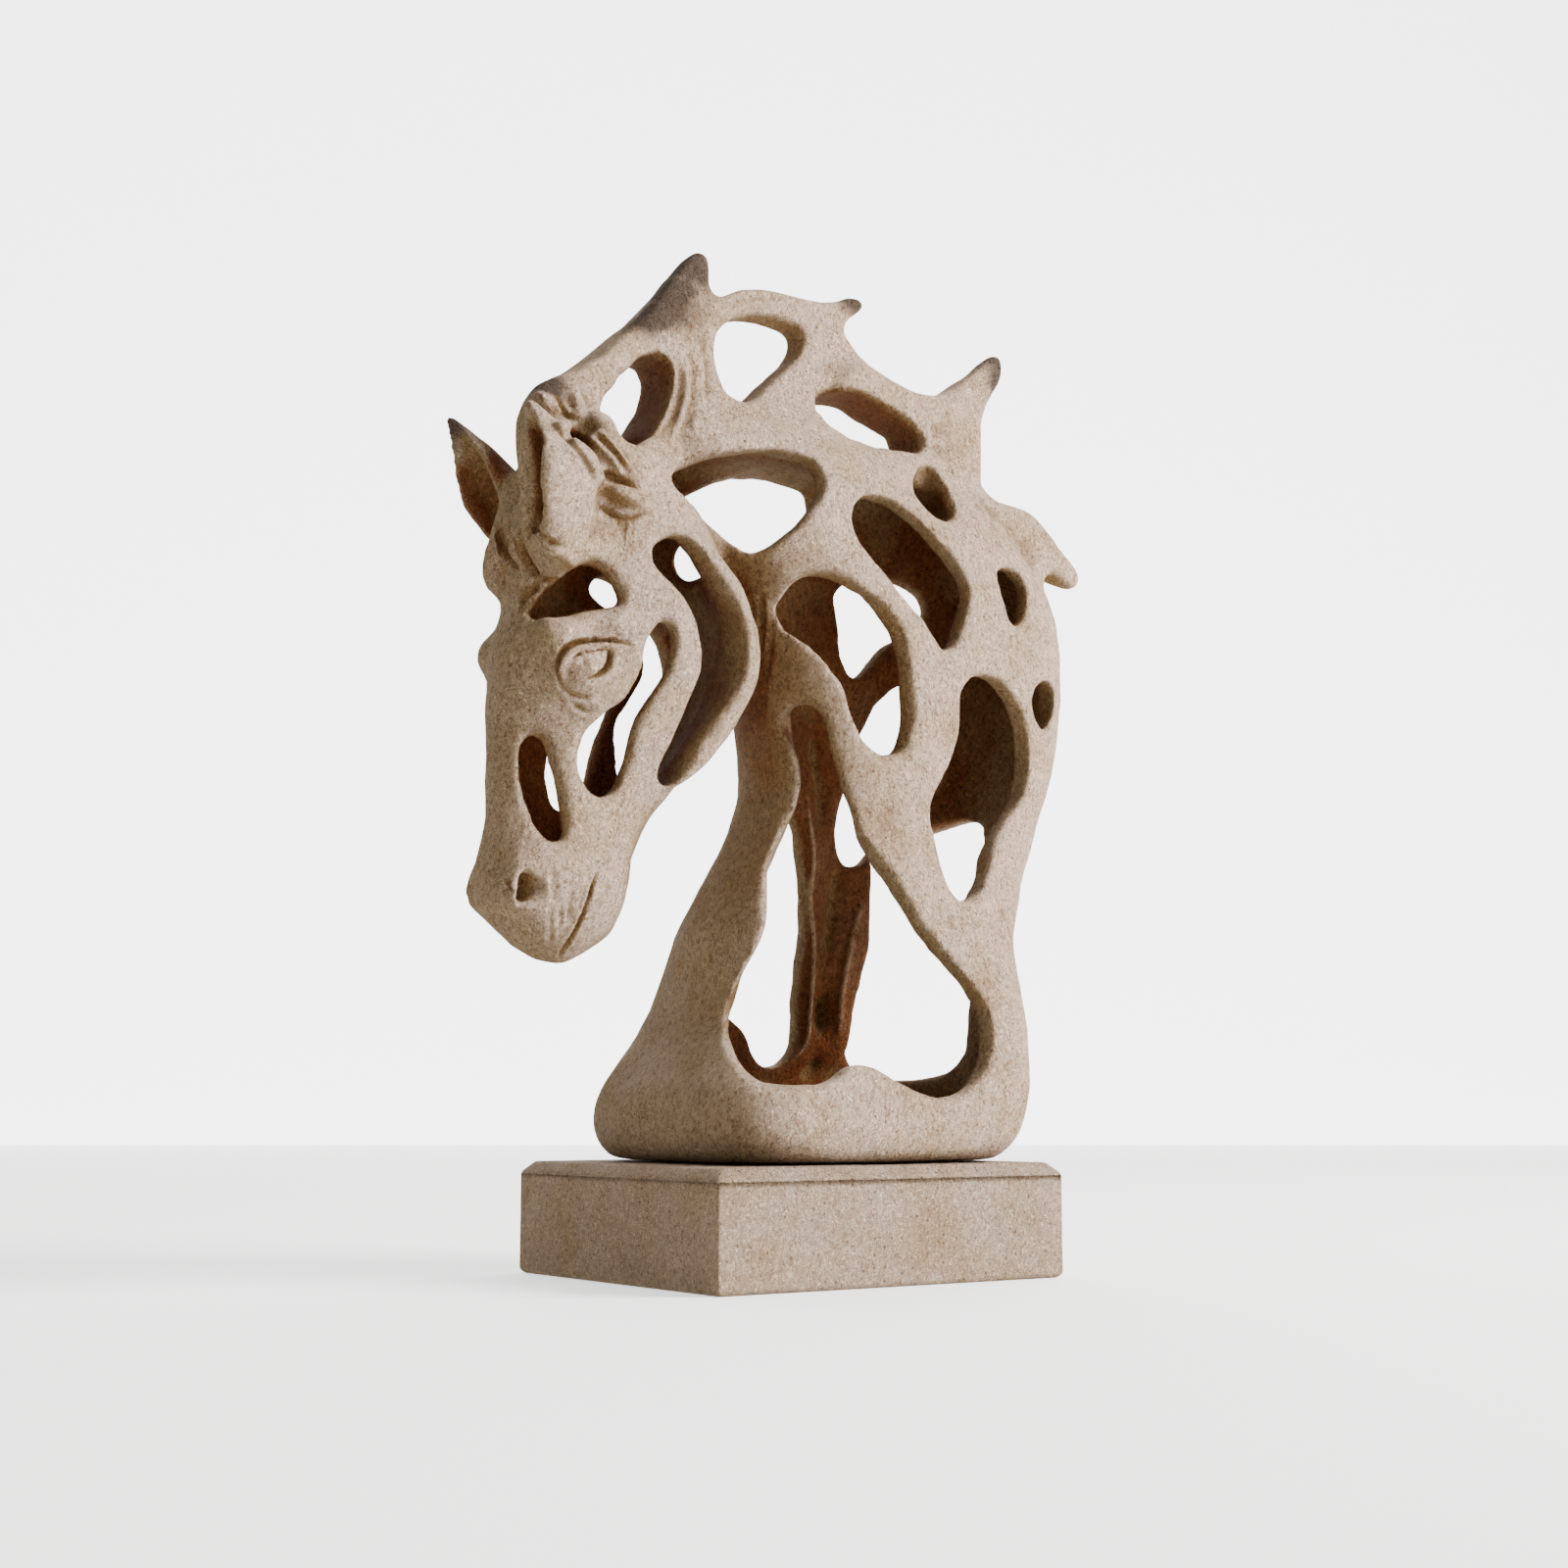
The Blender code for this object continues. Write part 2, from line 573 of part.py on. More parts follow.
def horse(collection, cutter_collection):
    form = solid_form(collection)
    cutters(cutter_collection)
    carve(form, cutter_collection)
    shell = fused(settled(form), SHELL_VOXEL, EDGE_SMOOTHING)
    shell.data.calc_loop_triangles()
    thin = shell.modifiers.new("coarse", "DECIMATE")
    thin.use_collapse_triangulate = True
    thin.ratio = FIGURE_TRIANGLES / len(shell.data.loop_triangles)
    shell.name = "horse"
    shell.data.materials.append(stone_material("horse_stone"))
    return shell


def plinth(collection):
    shape = bmesh.new()
    bmesh.ops.create_cube(shape, size=1.0)
    bmesh.ops.scale(shape, vec=(PLINTH_LENGTH, PLINTH_WIDTH, PLINTH_HEIGHT), verts=shape.verts)
    bmesh.ops.translate(shape, vec=(0, 0, PLINTH_HEIGHT / 2), verts=shape.verts)
    upright = [e for e in shape.edges if abs(e.verts[0].co.z - e.verts[1].co.z) > PLINTH_HEIGHT / 2]
    bmesh.ops.bevel(shape, geom=upright, offset=PLINTH_CORNER, segments=3, profile=0.5,
                    affect="EDGES")
    for height, width in ((PLINTH_HEIGHT, PLINTH_CHAMFER), (0.0, PLINTH_FOOT_BEVEL)):
        rim = [e for e in shape.edges if all(abs(v.co.z - height) < 0.01 * MM for v in e.verts)]
        bmesh.ops.bevel(shape, geom=rim, offset=width, segments=1, profile=0.5, affect="EDGES")
    obj = mesh_object("plinth", shape, collection)
    obj.data.materials.append(stone_material("plinth_stone"))
    return obj


def main():
    for obj in list(bpy.data.objects):
        bpy.data.objects.remove(obj)
    parts = new_collection("horse_sculpture")
    tools = new_collection("cutters")
    horse(parts, tools)
    plinth(parts)


main()
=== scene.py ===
"""Looks of the openwork horse sculpture: its carving, the sandstone finish, the plinth, the stage.

Units are metres. The head looks along -X, the near side is -Y and +Z is up.
Places of fine carving are read as pixels of the photograph, 1600 a side, and are put on the
cast figure's skin through the camera. Their widths and depths are millimetres.
"""
import math

import bmesh
import bpy
import numpy as np
from bpy.props import FloatProperty, FloatVectorProperty, IntProperty, PointerProperty
from mathutils import Euler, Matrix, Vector, noise
from mathutils.bvhtree import BVHTree
from mathutils.kdtree import KDTree


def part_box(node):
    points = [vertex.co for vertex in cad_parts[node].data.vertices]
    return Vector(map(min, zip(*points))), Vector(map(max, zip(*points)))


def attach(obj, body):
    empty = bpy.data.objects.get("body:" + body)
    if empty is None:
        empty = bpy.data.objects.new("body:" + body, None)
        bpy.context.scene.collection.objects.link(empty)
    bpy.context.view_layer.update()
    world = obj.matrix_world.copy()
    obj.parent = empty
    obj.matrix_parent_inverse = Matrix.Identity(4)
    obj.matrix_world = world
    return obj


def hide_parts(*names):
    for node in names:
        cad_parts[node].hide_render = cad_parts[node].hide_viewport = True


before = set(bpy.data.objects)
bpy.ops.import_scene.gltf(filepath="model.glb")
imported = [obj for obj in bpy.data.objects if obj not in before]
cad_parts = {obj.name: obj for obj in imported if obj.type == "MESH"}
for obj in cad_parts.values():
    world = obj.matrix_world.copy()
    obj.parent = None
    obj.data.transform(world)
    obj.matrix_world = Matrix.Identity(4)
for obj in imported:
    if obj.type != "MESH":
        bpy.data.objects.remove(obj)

bl_info = {
    "name": "Openwork horse sculpture",
    "version": (1, 0, 0),
    "blender": (4, 5, 0),
    "location": "3D View > Sidebar > Horse",
    "description": "Carves and finishes the cast horse and its plinth, and sets the stage",
    "category": "Object",
}

MM = 0.001
BODY = "root"
# Corners closer than this are one, and edges bent by more than this are sharp
TOUCHING = 0.01 * MM
SHARP = math.radians(20)

# The camera that took the photograph
PHOTO_SIDE = 1600
CAMERA_PLACE = (-0.5431, -0.7704, 0.0690)
CAMERA_TURN = (98.06, 0.0, -35.10)
CAMERA_LENS = 51.95
CAMERA_SENSOR = 36.0

# Locks laid on the figure: strands, how far they spread as a share of the lock's radius, turns
# of twist, lift off the skin in mm, then pixels along the lock with its radius in mm there
LOCKS = {
    "ribbon_behind_ear": (2, 0.45, 0.25, 0.2, (
        (564, 436, 3.6), (578, 434, 4.6), (592, 437, 4.6), (606, 447, 4.6), (622, 463, 4.2),
        (636, 478, 3.4), (652, 492, 2.2))),
    "ear_bed": (1, 0.0, 0.0, -1.0, (
        (541, 438, 3.5), (543, 460, 4.6), (545, 482, 5.2), (546, 505, 5.2), (543, 524, 4.0))),
    "ribbon_root": (1, 0.0, 0.0, 0.0, ((573, 434, 4.5), (584, 442, 5.2), (593, 451, 4.5))),
    "ribbon_below": (2, 0.4, 0.3, 0.2, (
        (613, 502, 3.0), (624, 500, 4.0), (638, 502, 4.2), (650, 507, 3.8), (656, 515, 2.4))),
    "ribbon_inner": (1, 0.0, 0.0, -1.2, (
        (582, 452, 4.0), (594, 464, 4.8), (604, 477, 4.6), (612, 492, 3.5))),
    "forelock_lobe": (1, 0.0, 0.0, -2.6, (
        (510, 545, 3.5), (505, 560, 5.0), (502, 577, 5.6), (503, 594, 5.6), (510, 609, 4.4))),
    "poll_tuft": (2, 0.45, 0.4, -0.5, (
        (545, 404, 3.5), (554, 402, 4.5), (563, 412, 4.6), (571, 424, 4.2), (577, 436, 3.2))),
    "crest_strand": (2, 0.4, 0.2, -1.2, (
        (584, 400, 4.0), (590, 412, 4.6), (592, 426, 4.4), (590, 436, 3.0))),
}

# Ridges and grooves: depth (a ridge is below zero), half width, height of the lips beside a
# groove, 1 if it is on both sides, then pixels along it
STROKES = {
    # Eye
    "eyeball": (-4.2, 3.8, 0, 1, ((595, 680), (601, 678), (607, 675))),
    "upper_lid": (-1.4, 1.5, 0, 1, ((574, 697), (573, 684), (577, 673), (586, 664), (600, 659.5),
                                   (616, 658), (634, 658))),
    "lower_lid": (-1.0, 1.5, 0, 1, ((577, 702), (590, 702), (606, 698), (620, 690), (627, 678),
                                   (628, 668))),
    "lid_groove": (2.6, 1.0, 0.3, 1, ((573, 702), (570.5, 694), (569, 683), (570.5, 672),
                                     (576, 662.5), (587, 656.5), (602, 654.5), (616, 654.5),
                                     (630, 655), (642, 657))),
    "lid_edge": (1.9, 0.75, 0.0, 1, ((583, 673), (588, 668.5), (600, 664), (614, 661.5),
                                     (626, 660.5))),
    "eye_under": (2.2, 0.9, 0.2, 1, ((622, 662), (622, 671), (619, 680), (611, 688), (600, 693))),
    "eye_bag": (0.7, 1.1, 0.4, 1, ((576, 704), (583, 709), (594, 712), (606, 709))),
    "eye_bag_low": (0.6, 1.1, 0.4, 1, ((584, 717), (590, 722), (598, 726), (606, 724))),
    "brow_ridge": (-1.6, 3.2, 0, 1, ((566, 650), (584, 641), (604, 637), (626, 637), (646, 640))),
    # Muzzle
    "nostril_dish": (1.5, 3.4, 0.5, 1, ((537, 895), (536, 906), (534, 917))),
    "nostril": (5.6, 2.2, 0.2, 1, ((536, 892), (535, 901), (534, 910), (532, 920))),
    "nostril_slit": (2.0, 0.9, 0.3, 1, ((514, 896), (517, 902), (521, 910))),
    "mouth": (1.9, 0.75, 0.5, 1, ((609, 892), (606, 900), (602, 911), (597, 926), (590, 942),
                                  (582, 957), (574, 969), (570, 976))),
    "lip": (-0.8, 1.6, 0, 1, ((600, 903), (594, 922), (586, 940), (576, 955), (566, 968))),
    "cheek_line": (0.5, 1.3, 0.3, 1, ((563, 880), (564, 892), (566, 908), (566, 922))),
    "lip_fold_1": (0.45, 1.0, 0.3, 1, ((583, 906), (583, 916), (581, 926), (580, 938))),
    "lip_fold_2": (0.25, 1.0, 0.3, 1, ((571, 925), (571, 937), (567, 950))),
    "lip_fold_3": (0.25, 1.0, 0.3, 1, ((560, 934), (562, 946), (560, 962))),
    # Forelock
    "forelock_deep": (4.0, 1.7, 0.8, 0, ((530, 549), (533, 559), (538, 570), (544, 580),
                                         (549, 588))),
    "forelock_foot": (3.6, 1.8, 0.6, 0, ((550, 593), (544, 600), (537, 607), (531, 616),
                                         (529, 622))),
    "forelock_left": (2.4, 1.5, 0.8, 0, ((509, 536), (511, 548), (515, 560), (522, 572),
                                         (531, 583))),
    "forelock_middle": (1.8, 1.3, 0.7, 0, ((520, 540), (524, 553), (531, 568), (538, 581),
                                           (545, 592))),
    "leaf_ridge": (-1.8, 2.2, 0, 0, ((556, 563), (566, 562), (577, 567), (588, 577))),
    "leaf_line": (2.2, 1.2, 0.6, 0, ((550, 588), (558, 592), (568, 592), (579, 587), (590, 579))),
    "leaf_top": (1.8, 1.5, 0.6, 0, ((545, 537), (552, 546), (562, 554), (572, 558))),
    "leaf_root": (2.2, 1.5, 0.4, 0, ((535, 535), (537, 543), (541, 550))),
    # Behind the near ear and on the poll
    "ribbon_line": (1.5, 1.2, 0.5, 0, ((609, 444), (618, 452), (627, 461), (634, 470), (639, 479))),
    "ribbon_hollow": (1.7, 1.2, 0.4, 0, ((612, 480), (626, 488), (640, 493), (654, 497))),
    "ribbon_foot": (1.2, 1.0, 0.4, 0, ((612, 515), (626, 526), (642, 529), (656, 524))),
    "ear_root": (0.9, 1.2, 0.3, 0, ((560, 428), (574, 444), (588, 458), (600, 476), (606, 492))),
    "tuft_gap": (1.8, 1.3, 0.4, 0, ((567, 402), (573, 412), (578, 423), (580, 433))),
    "ear_dish": (5.2, 5.0, 0, 0, ((555, 450), (559, 468), (562, 486), (564, 504), (561, 523))),
    "mane_fold_1": (0.9, 1.5, 0.6, 0, ((690, 366), (694, 384), (692, 404), (685, 426), (674, 447))),
    "mane_fold_2": (0.8, 1.5, 0.6, 0, ((703, 356), (708, 376), (708, 400), (703, 424), (695, 446))),
    "mane_fold_3": (0.7, 1.6, 0.5, 0, ((716, 330), (718, 355), (721, 382), (722, 410))),
    "mane_fold_4": (0.6, 1.6, 0.5, 0, ((742, 312), (760, 305), (782, 305), (806, 311))),
    "neck_fold_1": (1.0, 1.3, 0.7, 0, ((776, 606), (777, 632), (776, 660), (771, 694), (768, 722))),
    "neck_fold_2": (0.8, 1.2, 0.6, 0, ((768, 612), (770, 640), (770, 668), (765, 694))),
    "neck_fold_3": (0.7, 1.2, 0.5, 0, ((786, 640), (785, 664), (781, 690), (779, 716))),
    # The far strut seen through the chest window
    "strut_band": (-2.4, 3.0, 0, 0, ((808, 742), (813, 800), (815, 850), (814, 900), (811, 950),
                                    (807, 1000), (807, 1040), (803, 1078))),
    "strut_edge": (-1.6, 2.2, 0, 0, ((884, 908), (874, 940), (866, 975), (859, 1012), (856, 1066))),
    "strut_ridge": (-1.4, 1.2, 0, 0, ((822, 800), (826, 838), (830, 873), (827, 916), (830, 959),
                                      (829, 996), (826, 1035), (822, 1065), (802, 1091))),
    "strut_hollow_high": (2.4, 2.6, 0, 0, ((829, 750), (833, 780), (837, 812), (838, 846))),
    "strut_hollow_middle": (2.8, 3.6, 0, 0, ((856, 880), (852, 910), (848, 940), (842, 984))),
    "strut_pit": (4.6, 2.6, 0, 0, ((838, 1018), (838, 1034), (837, 1056))),
    "strut_foot": (3.0, 2.8, 0, 0, ((834, 1078), (828, 1092), (815, 1100))),
}

# Tips that have kept a dark wash: pixel, then reach in mm
DARK_TIPS = ((702, 268, 15), (690, 300, 14), (668, 322, 12), (432, 398, 13), (440, 425, 10),
             (1030, 262, 12), (862, 208, 9), (1124, 430, 10), (560, 392, 9))

# Where a pixel's ray misses the figure, the skin nearest to it is sought at these distances
SEARCH_START = 0.70
SEARCH_STEP = 0.004
SEARCH_STEPS = 100

# Pixels between the points of a lock and of a stroke, and metres between a strand's rings
LOCK_SPACING = 3.0
STROKE_SPACING = 1.4
LOCK_STEP = 1.5 * MM
# A stroke's point this far from the last one is on another wall and is left out
STROKE_JUMP = 12 * MM
# Rounds that smooth the way a stroke is pressed in
FACING_ROUNDS = 16

# A stroke's section, in half widths: how far it reaches, and where its lips are
STROKE_REACH = 3.2
LIP_PLACE = 2.0
# A stroke's ends: the share of its length over which it thins out, the least length of that in
# half widths, and the depth left at the very end
STROKE_ENDS = 0.22
LEAST_END = 2.2
END_DEPTH = 0.25
# Skin at a right angle to a stroke still takes this share of it
SIDE_SHARE = 0.3
# A groove this many half widths deep is at its darkest, in brown wash and painted shade
DARK_SHAPE = 2.0

# Hand-worked swells: size, and height as a share of the unevenness
SWELLS = ((18 * MM, 1.0), (7 * MM, 0.45))
# The swells start this far above the foot and are whole over the next stretch
CALM_FOOT = 2 * MM
CALM_STRETCH = 6 * MM

# Shelter: rays start this far off the skin, and the ones that leave it too flat don't count
RAY_LIFT = 0.5 * MM
LEAST_SLOPE = 0.15
# A wall at the end of a ray's reach shelters by this much less than a near one
FAR_LOSS = 0.5
# A wall within this distance is close by
CLOSE_REACH = 7 * MM

# The shell's inner side: below the ears and the mane's locks, and away from the middle plane
INNER_TOP = 335 * MM
INNER_FADE = 12 * MM
MIDDLE_PLANE = 3 * MM
MIDDLE_FADE = 8 * MM
SHELTERED_ENOUGH = 0.12

# Rounds of averaging that give the surroundings which the relief stands out of
RELIEF_ROUNDS = 6
# Strength of one round of the form's smoothing
SMOOTHING = 0.5

# Brown washes and painted shade in the order they are laid on: the mask, where it starts and is
# full, share, colour. In sheltered places, on inner walls, in grooves and in hollows they are
# partly the stone's brown wash and partly painted shade; a groove below zero brings the warm stone
# back onto raised strokes
WASH_AND_SHADE_LAYERS = (
    ("tips", 0.05, 0.80, 0.90, "tip"),
    ("close", 0.15, 0.55, 0.80, "ochre"),
    ("inside", 0.08, 0.40, 0.85, "ochre"),
    ("inner", 0.15, 0.70, 0.85, "wash"),
    ("inside", 0.34, 0.60, 0.90, "wash"),
    ("deep_inside", 0.26, 0.66, 0.60, "hollow"),
    ("groove", 0.06, 0.50, 0.80, "ochre"),
    ("groove", 0.45, 1.00, 0.80, "wash"),
    ("groove", 0.80, 1.00, 0.80, "deep"),
    ("groove", -0.15, -0.50, 0.55, "warm"),
    ("relief", -0.06, -0.50, 0.50, "ochre"),
)
# The side that the head looks to, and the underside, turned from the key light, take an olive tint:
# partly a browner wash kept there, partly painted shade
FRONT_WASH_AND_SHADE_WAY = (-0.86, 0.30, -0.42)
# How far the stone's patches move the edges of the washes and of the painted shade
WASH_AND_SHADE_WAVE = 0.25
# The patches' scale against the grain's, and the parts of the grain's height
PATCH_SCALE = 0.06
STREAK_HEIGHT = 1.1
WORM_HEIGHT = 0.35
PIT_HEIGHT = 0.9
# How dark the wash is in a pit
PIT_WASH = 0.5
SPECULAR = 0.08
# On the plinth the front wash with its painted shade, and the speckle with its painted grain shade,
# are weaker by these shares
PLINTH_FRONT_WASH_AND_SHADE = 0.8
PLINTH_SPECKLE_AND_SHADE = 0.7

# Sizes of the plinth's wear with their shares, and the depth that counts as its underside
PLINTH_WEAR = ((30 * MM, 0.6), (11 * MM, 0.4))
UNDERSIDE = 0.1 * MM

# Lights: the diameter, the place and the colour of each, and what they look at
KEY_LIGHT = (0.9, (1.15, -1.05, 1.15), (1.0, 0.985, 0.97))
FILL_LIGHT = (1.4, (-1.5, -0.6, 0.7), (1.0, 0.97, 0.92))
LIT_PLACE = (0.0, 0.0, 0.22)
# The backdrop stands square to the view, this far from the camera
BACKDROP_FAR = 4.0
FLOOR_ROUGHNESS = 0.9
BACKDROP_ROUGHNESS = 0.5
WHITE = (1.0, 1.0, 1.0, 1.0)


# Paths on the skin

def dense(rows, spacing):
    """The rows with more between them, at most a spacing in pixels apart, on a smooth curve.

    The curve is a Catmull-Rom spline, which passes through every row.
    """
    rows = np.array(rows, float)
    ahead = np.vstack([rows[:1], rows, rows[-1:]])
    out = []
    for i in range(len(rows) - 1):
        a, b, c, d = ahead[i:i + 4]
        per_step = max(1, math.ceil(np.linalg.norm((c - b)[:2]) / spacing))
        for step in range(per_step):
            t = step / per_step
            out.append(0.5 * (2 * b + (c - a) * t + (2 * a - 5 * b + 4 * c - d) * t * t
                              + (3 * b - a - 3 * c + d) * t ** 3))
    out.append(rows[-1])
    return np.array(out)


class Skin:
    """The figure's skin, on which a pixel of the photograph or a place in space is found."""

    def __init__(self, mesh):
        self.tree = BVHTree.FromPolygons([v.co for v in mesh.vertices],
                                         [p.vertices for p in mesh.polygons])
        self.eye = Vector(CAMERA_PLACE)
        self.turn = Euler([math.radians(a) for a in CAMERA_TURN]).to_matrix()

    def seen_at(self, px, py):
        """The place and the normal of the skin at a pixel, or of the skin nearest to its ray."""
        x = (px / PHOTO_SIDE - 0.5) * CAMERA_SENSOR / CAMERA_LENS
        y = (0.5 - py / PHOTO_SIDE) * CAMERA_SENSOR / CAMERA_LENS
        ray = (self.turn @ Vector((x, y, -1))).normalized()
        place, normal, _, _ = self.tree.ray_cast(self.eye, ray)
        if place is not None:
            return place, normal
        found = [self.tree.find_nearest(self.eye + ray * (SEARCH_START + SEARCH_STEP * i))
                 for i in range(SEARCH_STEPS)]
        place, normal, _, _ = min(found, key=lambda hit: hit[3])
        return place, normal

    def mirrored(self, place):
        """The place on the far side that answers to a place on the near side."""
        place, normal, _, _ = self.tree.find_nearest(Vector((place.x, -place.y, place.z)))
        return place, normal


# Meshes and objects

def new_object(name, data):
    """An object of the data, in the scene."""
    obj = bpy.data.objects.new(name, data)
    bpy.context.scene.collection.objects.link(obj)
    return obj


def settled(obj):
    """The object's evaluated mesh as a new plain mesh; the object is removed."""
    bpy.context.view_layer.update()
    graph = bpy.context.evaluated_depsgraph_get()
    mesh = bpy.data.meshes.new_from_object(obj.evaluated_get(graph))
    mesh.transform(obj.matrix_world)
    bpy.data.objects.remove(obj)
    return mesh


def merged_copy(node):
    """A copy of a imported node's mesh with its loose triangles joined up."""
    shape = bmesh.new()
    shape.from_mesh(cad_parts[node].data)
    bmesh.ops.remove_doubles(shape, verts=shape.verts, dist=TOUCHING)
    mesh = bpy.data.meshes.new(node + "_copy")
    shape.to_mesh(mesh)
    shape.free()
    return mesh


def coordinates(mesh):
    """The vertices' places, a row each."""
    out = np.empty(len(mesh.vertices) * 3)
    mesh.vertices.foreach_get("co", out)
    return out.reshape(-1, 3)


def directions(mesh):
    """The vertices' normals, a row each."""
    out = np.empty(len(mesh.vertices) * 3)
    mesh.vertex_normals.foreach_get("vector", out)
    return out.reshape(-1, 3)


def place_vertices(mesh, co):
    """Move the mesh's vertices to the rows of co."""
    mesh.vertices.foreach_set("co", co.ravel())
    mesh.update()


def write_attribute(mesh, name, values):
    """Keep one number a vertex on the mesh."""
    layer = mesh.attributes.new(name, "FLOAT", "POINT")
    layer.data.foreach_set("value", values.astype(np.float32))


def finished(name, mesh, material, node):
    """The piece on its body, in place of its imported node."""
    mesh.name = name
    mesh.materials.clear()
    mesh.materials.append(material)
    mesh.shade_smooth()
    piece = new_object(name, mesh)
    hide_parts(node)
    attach(piece, BODY)
    return piece


# Node trees

def add_node(tree, kind, inputs=None, **values):
    """A node with its own settings, its inputs set to numbers or joined to sockets."""
    made = tree.nodes.new(kind)
    for key, value in values.items():
        setattr(made, key, value)
    for key, value in (inputs or {}).items():
        socket = made.inputs[key]
        if isinstance(value, bpy.types.NodeSocket):
            tree.links.new(value, socket)
        else:
            socket.default_value = value
    return made


def maths(tree, operation, a, b=0.0, clamp=False):
    """The result of a Math node."""
    return add_node(tree, "ShaderNodeMath", {0: a, 1: b}, operation=operation,
                    use_clamp=clamp).outputs[0]


def vector_maths(tree, operation, a, b=None, scale=None):
    """The result of a Vector Math node."""
    inputs = {0: a}
    if b is not None:
        inputs[1] = b
    if scale is not None:
        inputs["Scale"] = scale
    made = add_node(tree, "ShaderNodeVectorMath", inputs, operation=operation)
    return made.outputs["Value" if operation == "DOT_PRODUCT" else "Vector"]


def blended(tree, share, a, b, blend="MIX"):
    """Two colours mixed by a share."""
    made = add_node(tree, "ShaderNodeMix", data_type="RGBA", blend_type=blend, clamp_factor=True)
    for index, value in ((0, share), (6, a), (7, b)):
        if isinstance(value, bpy.types.NodeSocket):
            tree.links.new(value, made.inputs[index])
        else:
            made.inputs[index].default_value = value
    return made.outputs[2]


def ramped(tree, value, low, high, to_low=0.0, to_high=1.0):
    """A value led smoothly from one range to another."""
    return add_node(tree, "ShaderNodeMapRange", {
        "Value": value, "From Min": low, "From Max": high, "To Min": to_low, "To Max": to_high,
    }, interpolation_type="SMOOTHSTEP").outputs["Result"]


def strands_tree():
    """Twisted strands swept along each curve, as wide as the curve's own radius says."""
    tree = bpy.data.node_groups.new("twisted_strands", "GeometryNodeTree")
    sockets = (("Geometry", "NodeSocketGeometry"), ("Strands", "NodeSocketInt"),
               ("Spread", "NodeSocketFloat"), ("Twist", "NodeSocketFloat"),
               ("Strand Share", "NodeSocketFloat"), ("Step", "NodeSocketFloat"),
               ("Sides", "NodeSocketInt"), ("Material", "NodeSocketMaterial"))
    for name, kind in sockets:
        tree.interface.new_socket(name, in_out="INPUT", socket_type=kind)
    tree.interface.new_socket("Geometry", in_out="OUTPUT", socket_type="NodeSocketGeometry")
    given = add_node(tree, "NodeGroupInput").outputs
    path = add_node(tree, "GeometryNodeResampleCurve",
                    {"Curve": given["Geometry"], "Length": given["Step"]}, mode="LENGTH")
    copies = add_node(tree, "GeometryNodeDuplicateElements",
                      {"Geometry": path.outputs[0], "Amount": given["Strands"]}, domain="SPLINE")
    along = add_node(tree, "GeometryNodeSplineParameter").outputs["Factor"]
    turn = maths(tree, "ADD", maths(tree, "DIVIDE", copies.outputs["Duplicate Index"],
                                    given["Strands"]),
                 maths(tree, "MULTIPLY", along, given["Twist"]))
    angle = maths(tree, "MULTIPLY", turn, 2 * math.pi)
    normal = add_node(tree, "GeometryNodeInputNormal").outputs["Normal"]
    tangent = add_node(tree, "GeometryNodeInputTangent").outputs["Tangent"]
    radius = add_node(tree, "GeometryNodeInputRadius").outputs["Radius"]
    across = vector_maths(tree, "CROSS_PRODUCT", tangent, normal)
    offset = vector_maths(tree, "ADD",
                          vector_maths(tree, "SCALE", normal, scale=maths(tree, "COSINE", angle)),
                          vector_maths(tree, "SCALE", across, scale=maths(tree, "SINE", angle)))
    reach = maths(tree, "MULTIPLY", radius, given["Spread"])
    moved = add_node(tree, "GeometryNodeSetPosition", {
        "Geometry": copies.outputs["Geometry"],
        "Offset": vector_maths(tree, "SCALE", offset, scale=reach)})
    circle = add_node(tree, "GeometryNodeCurvePrimitiveCircle",
                      {"Resolution": given["Sides"], "Radius": 1.0})
    swept = add_node(tree, "GeometryNodeCurveToMesh", {
        "Curve": moved.outputs[0], "Profile Curve": circle.outputs[0],
        "Scale": maths(tree, "MULTIPLY", radius, given["Strand Share"]), "Fill Caps": True})
    real = add_node(tree, "GeometryNodeRealizeInstances", {"Geometry": swept.outputs[0]})
    faced = add_node(tree, "GeometryNodeSetMaterial",
                     {"Geometry": real.outputs[0], "Material": given["Material"]})
    add_node(tree, "NodeGroupOutput", {"Geometry": faced.outputs[0]})
    return tree


def lock_mesh(name, lock, skin, tree, sides, material):
    """One lock of hair, its strands swept along a path on the skin."""
    strands, spread, twist, lift, points = lock
    path = dense(points, LOCK_SPACING)
    curve = bpy.data.curves.new(name, "CURVE")
    curve.dimensions = "3D"
    spline = curve.splines.new("POLY")
    spline.points.add(len(path) - 1)
    for point, (px, py, radius) in zip(spline.points, path):
        place, normal = skin.seen_at(px, py)
        place = place + normal * lift * MM
        point.co = (*place, 1.0)
        point.radius = radius * MM
    obj = new_object(name, curve)
    sweep = obj.modifiers.new("strands", "NODES")
    sweep.node_group = tree
    values = {"Strands": strands, "Spread": spread, "Twist": twist,
              "Strand Share": 1.0 - spread, "Step": LOCK_STEP, "Sides": sides,
              "Material": material}
    for item in tree.interface.items_tree:
        if item.in_out == "INPUT" and item.name in values:
            sweep[item.identifier] = values[item.name]
    return settled(obj)


# Carving

def stroke_places(name, skin, far):
    """Places and normals close together along a stroke, on the near or on the far side."""
    places, facing = [], []
    for px, py in dense(STROKES[name][4], STROKE_SPACING):
        place, normal = skin.seen_at(px, py)
        if far:
            place, normal = skin.mirrored(place)
        if places and (place - places[-1]).length > STROKE_JUMP:
            continue
        places.append(place)
        facing.append(normal)
    facing = np.array(facing)
    for _ in range(FACING_ROUNDS):
        around = np.vstack([facing[:1], facing, facing[-1:]])
        facing = (around[:-2] + around[1:-1] + around[2:]) / 3
    return np.array(places), facing / np.linalg.norm(facing, axis=1)[:, None]


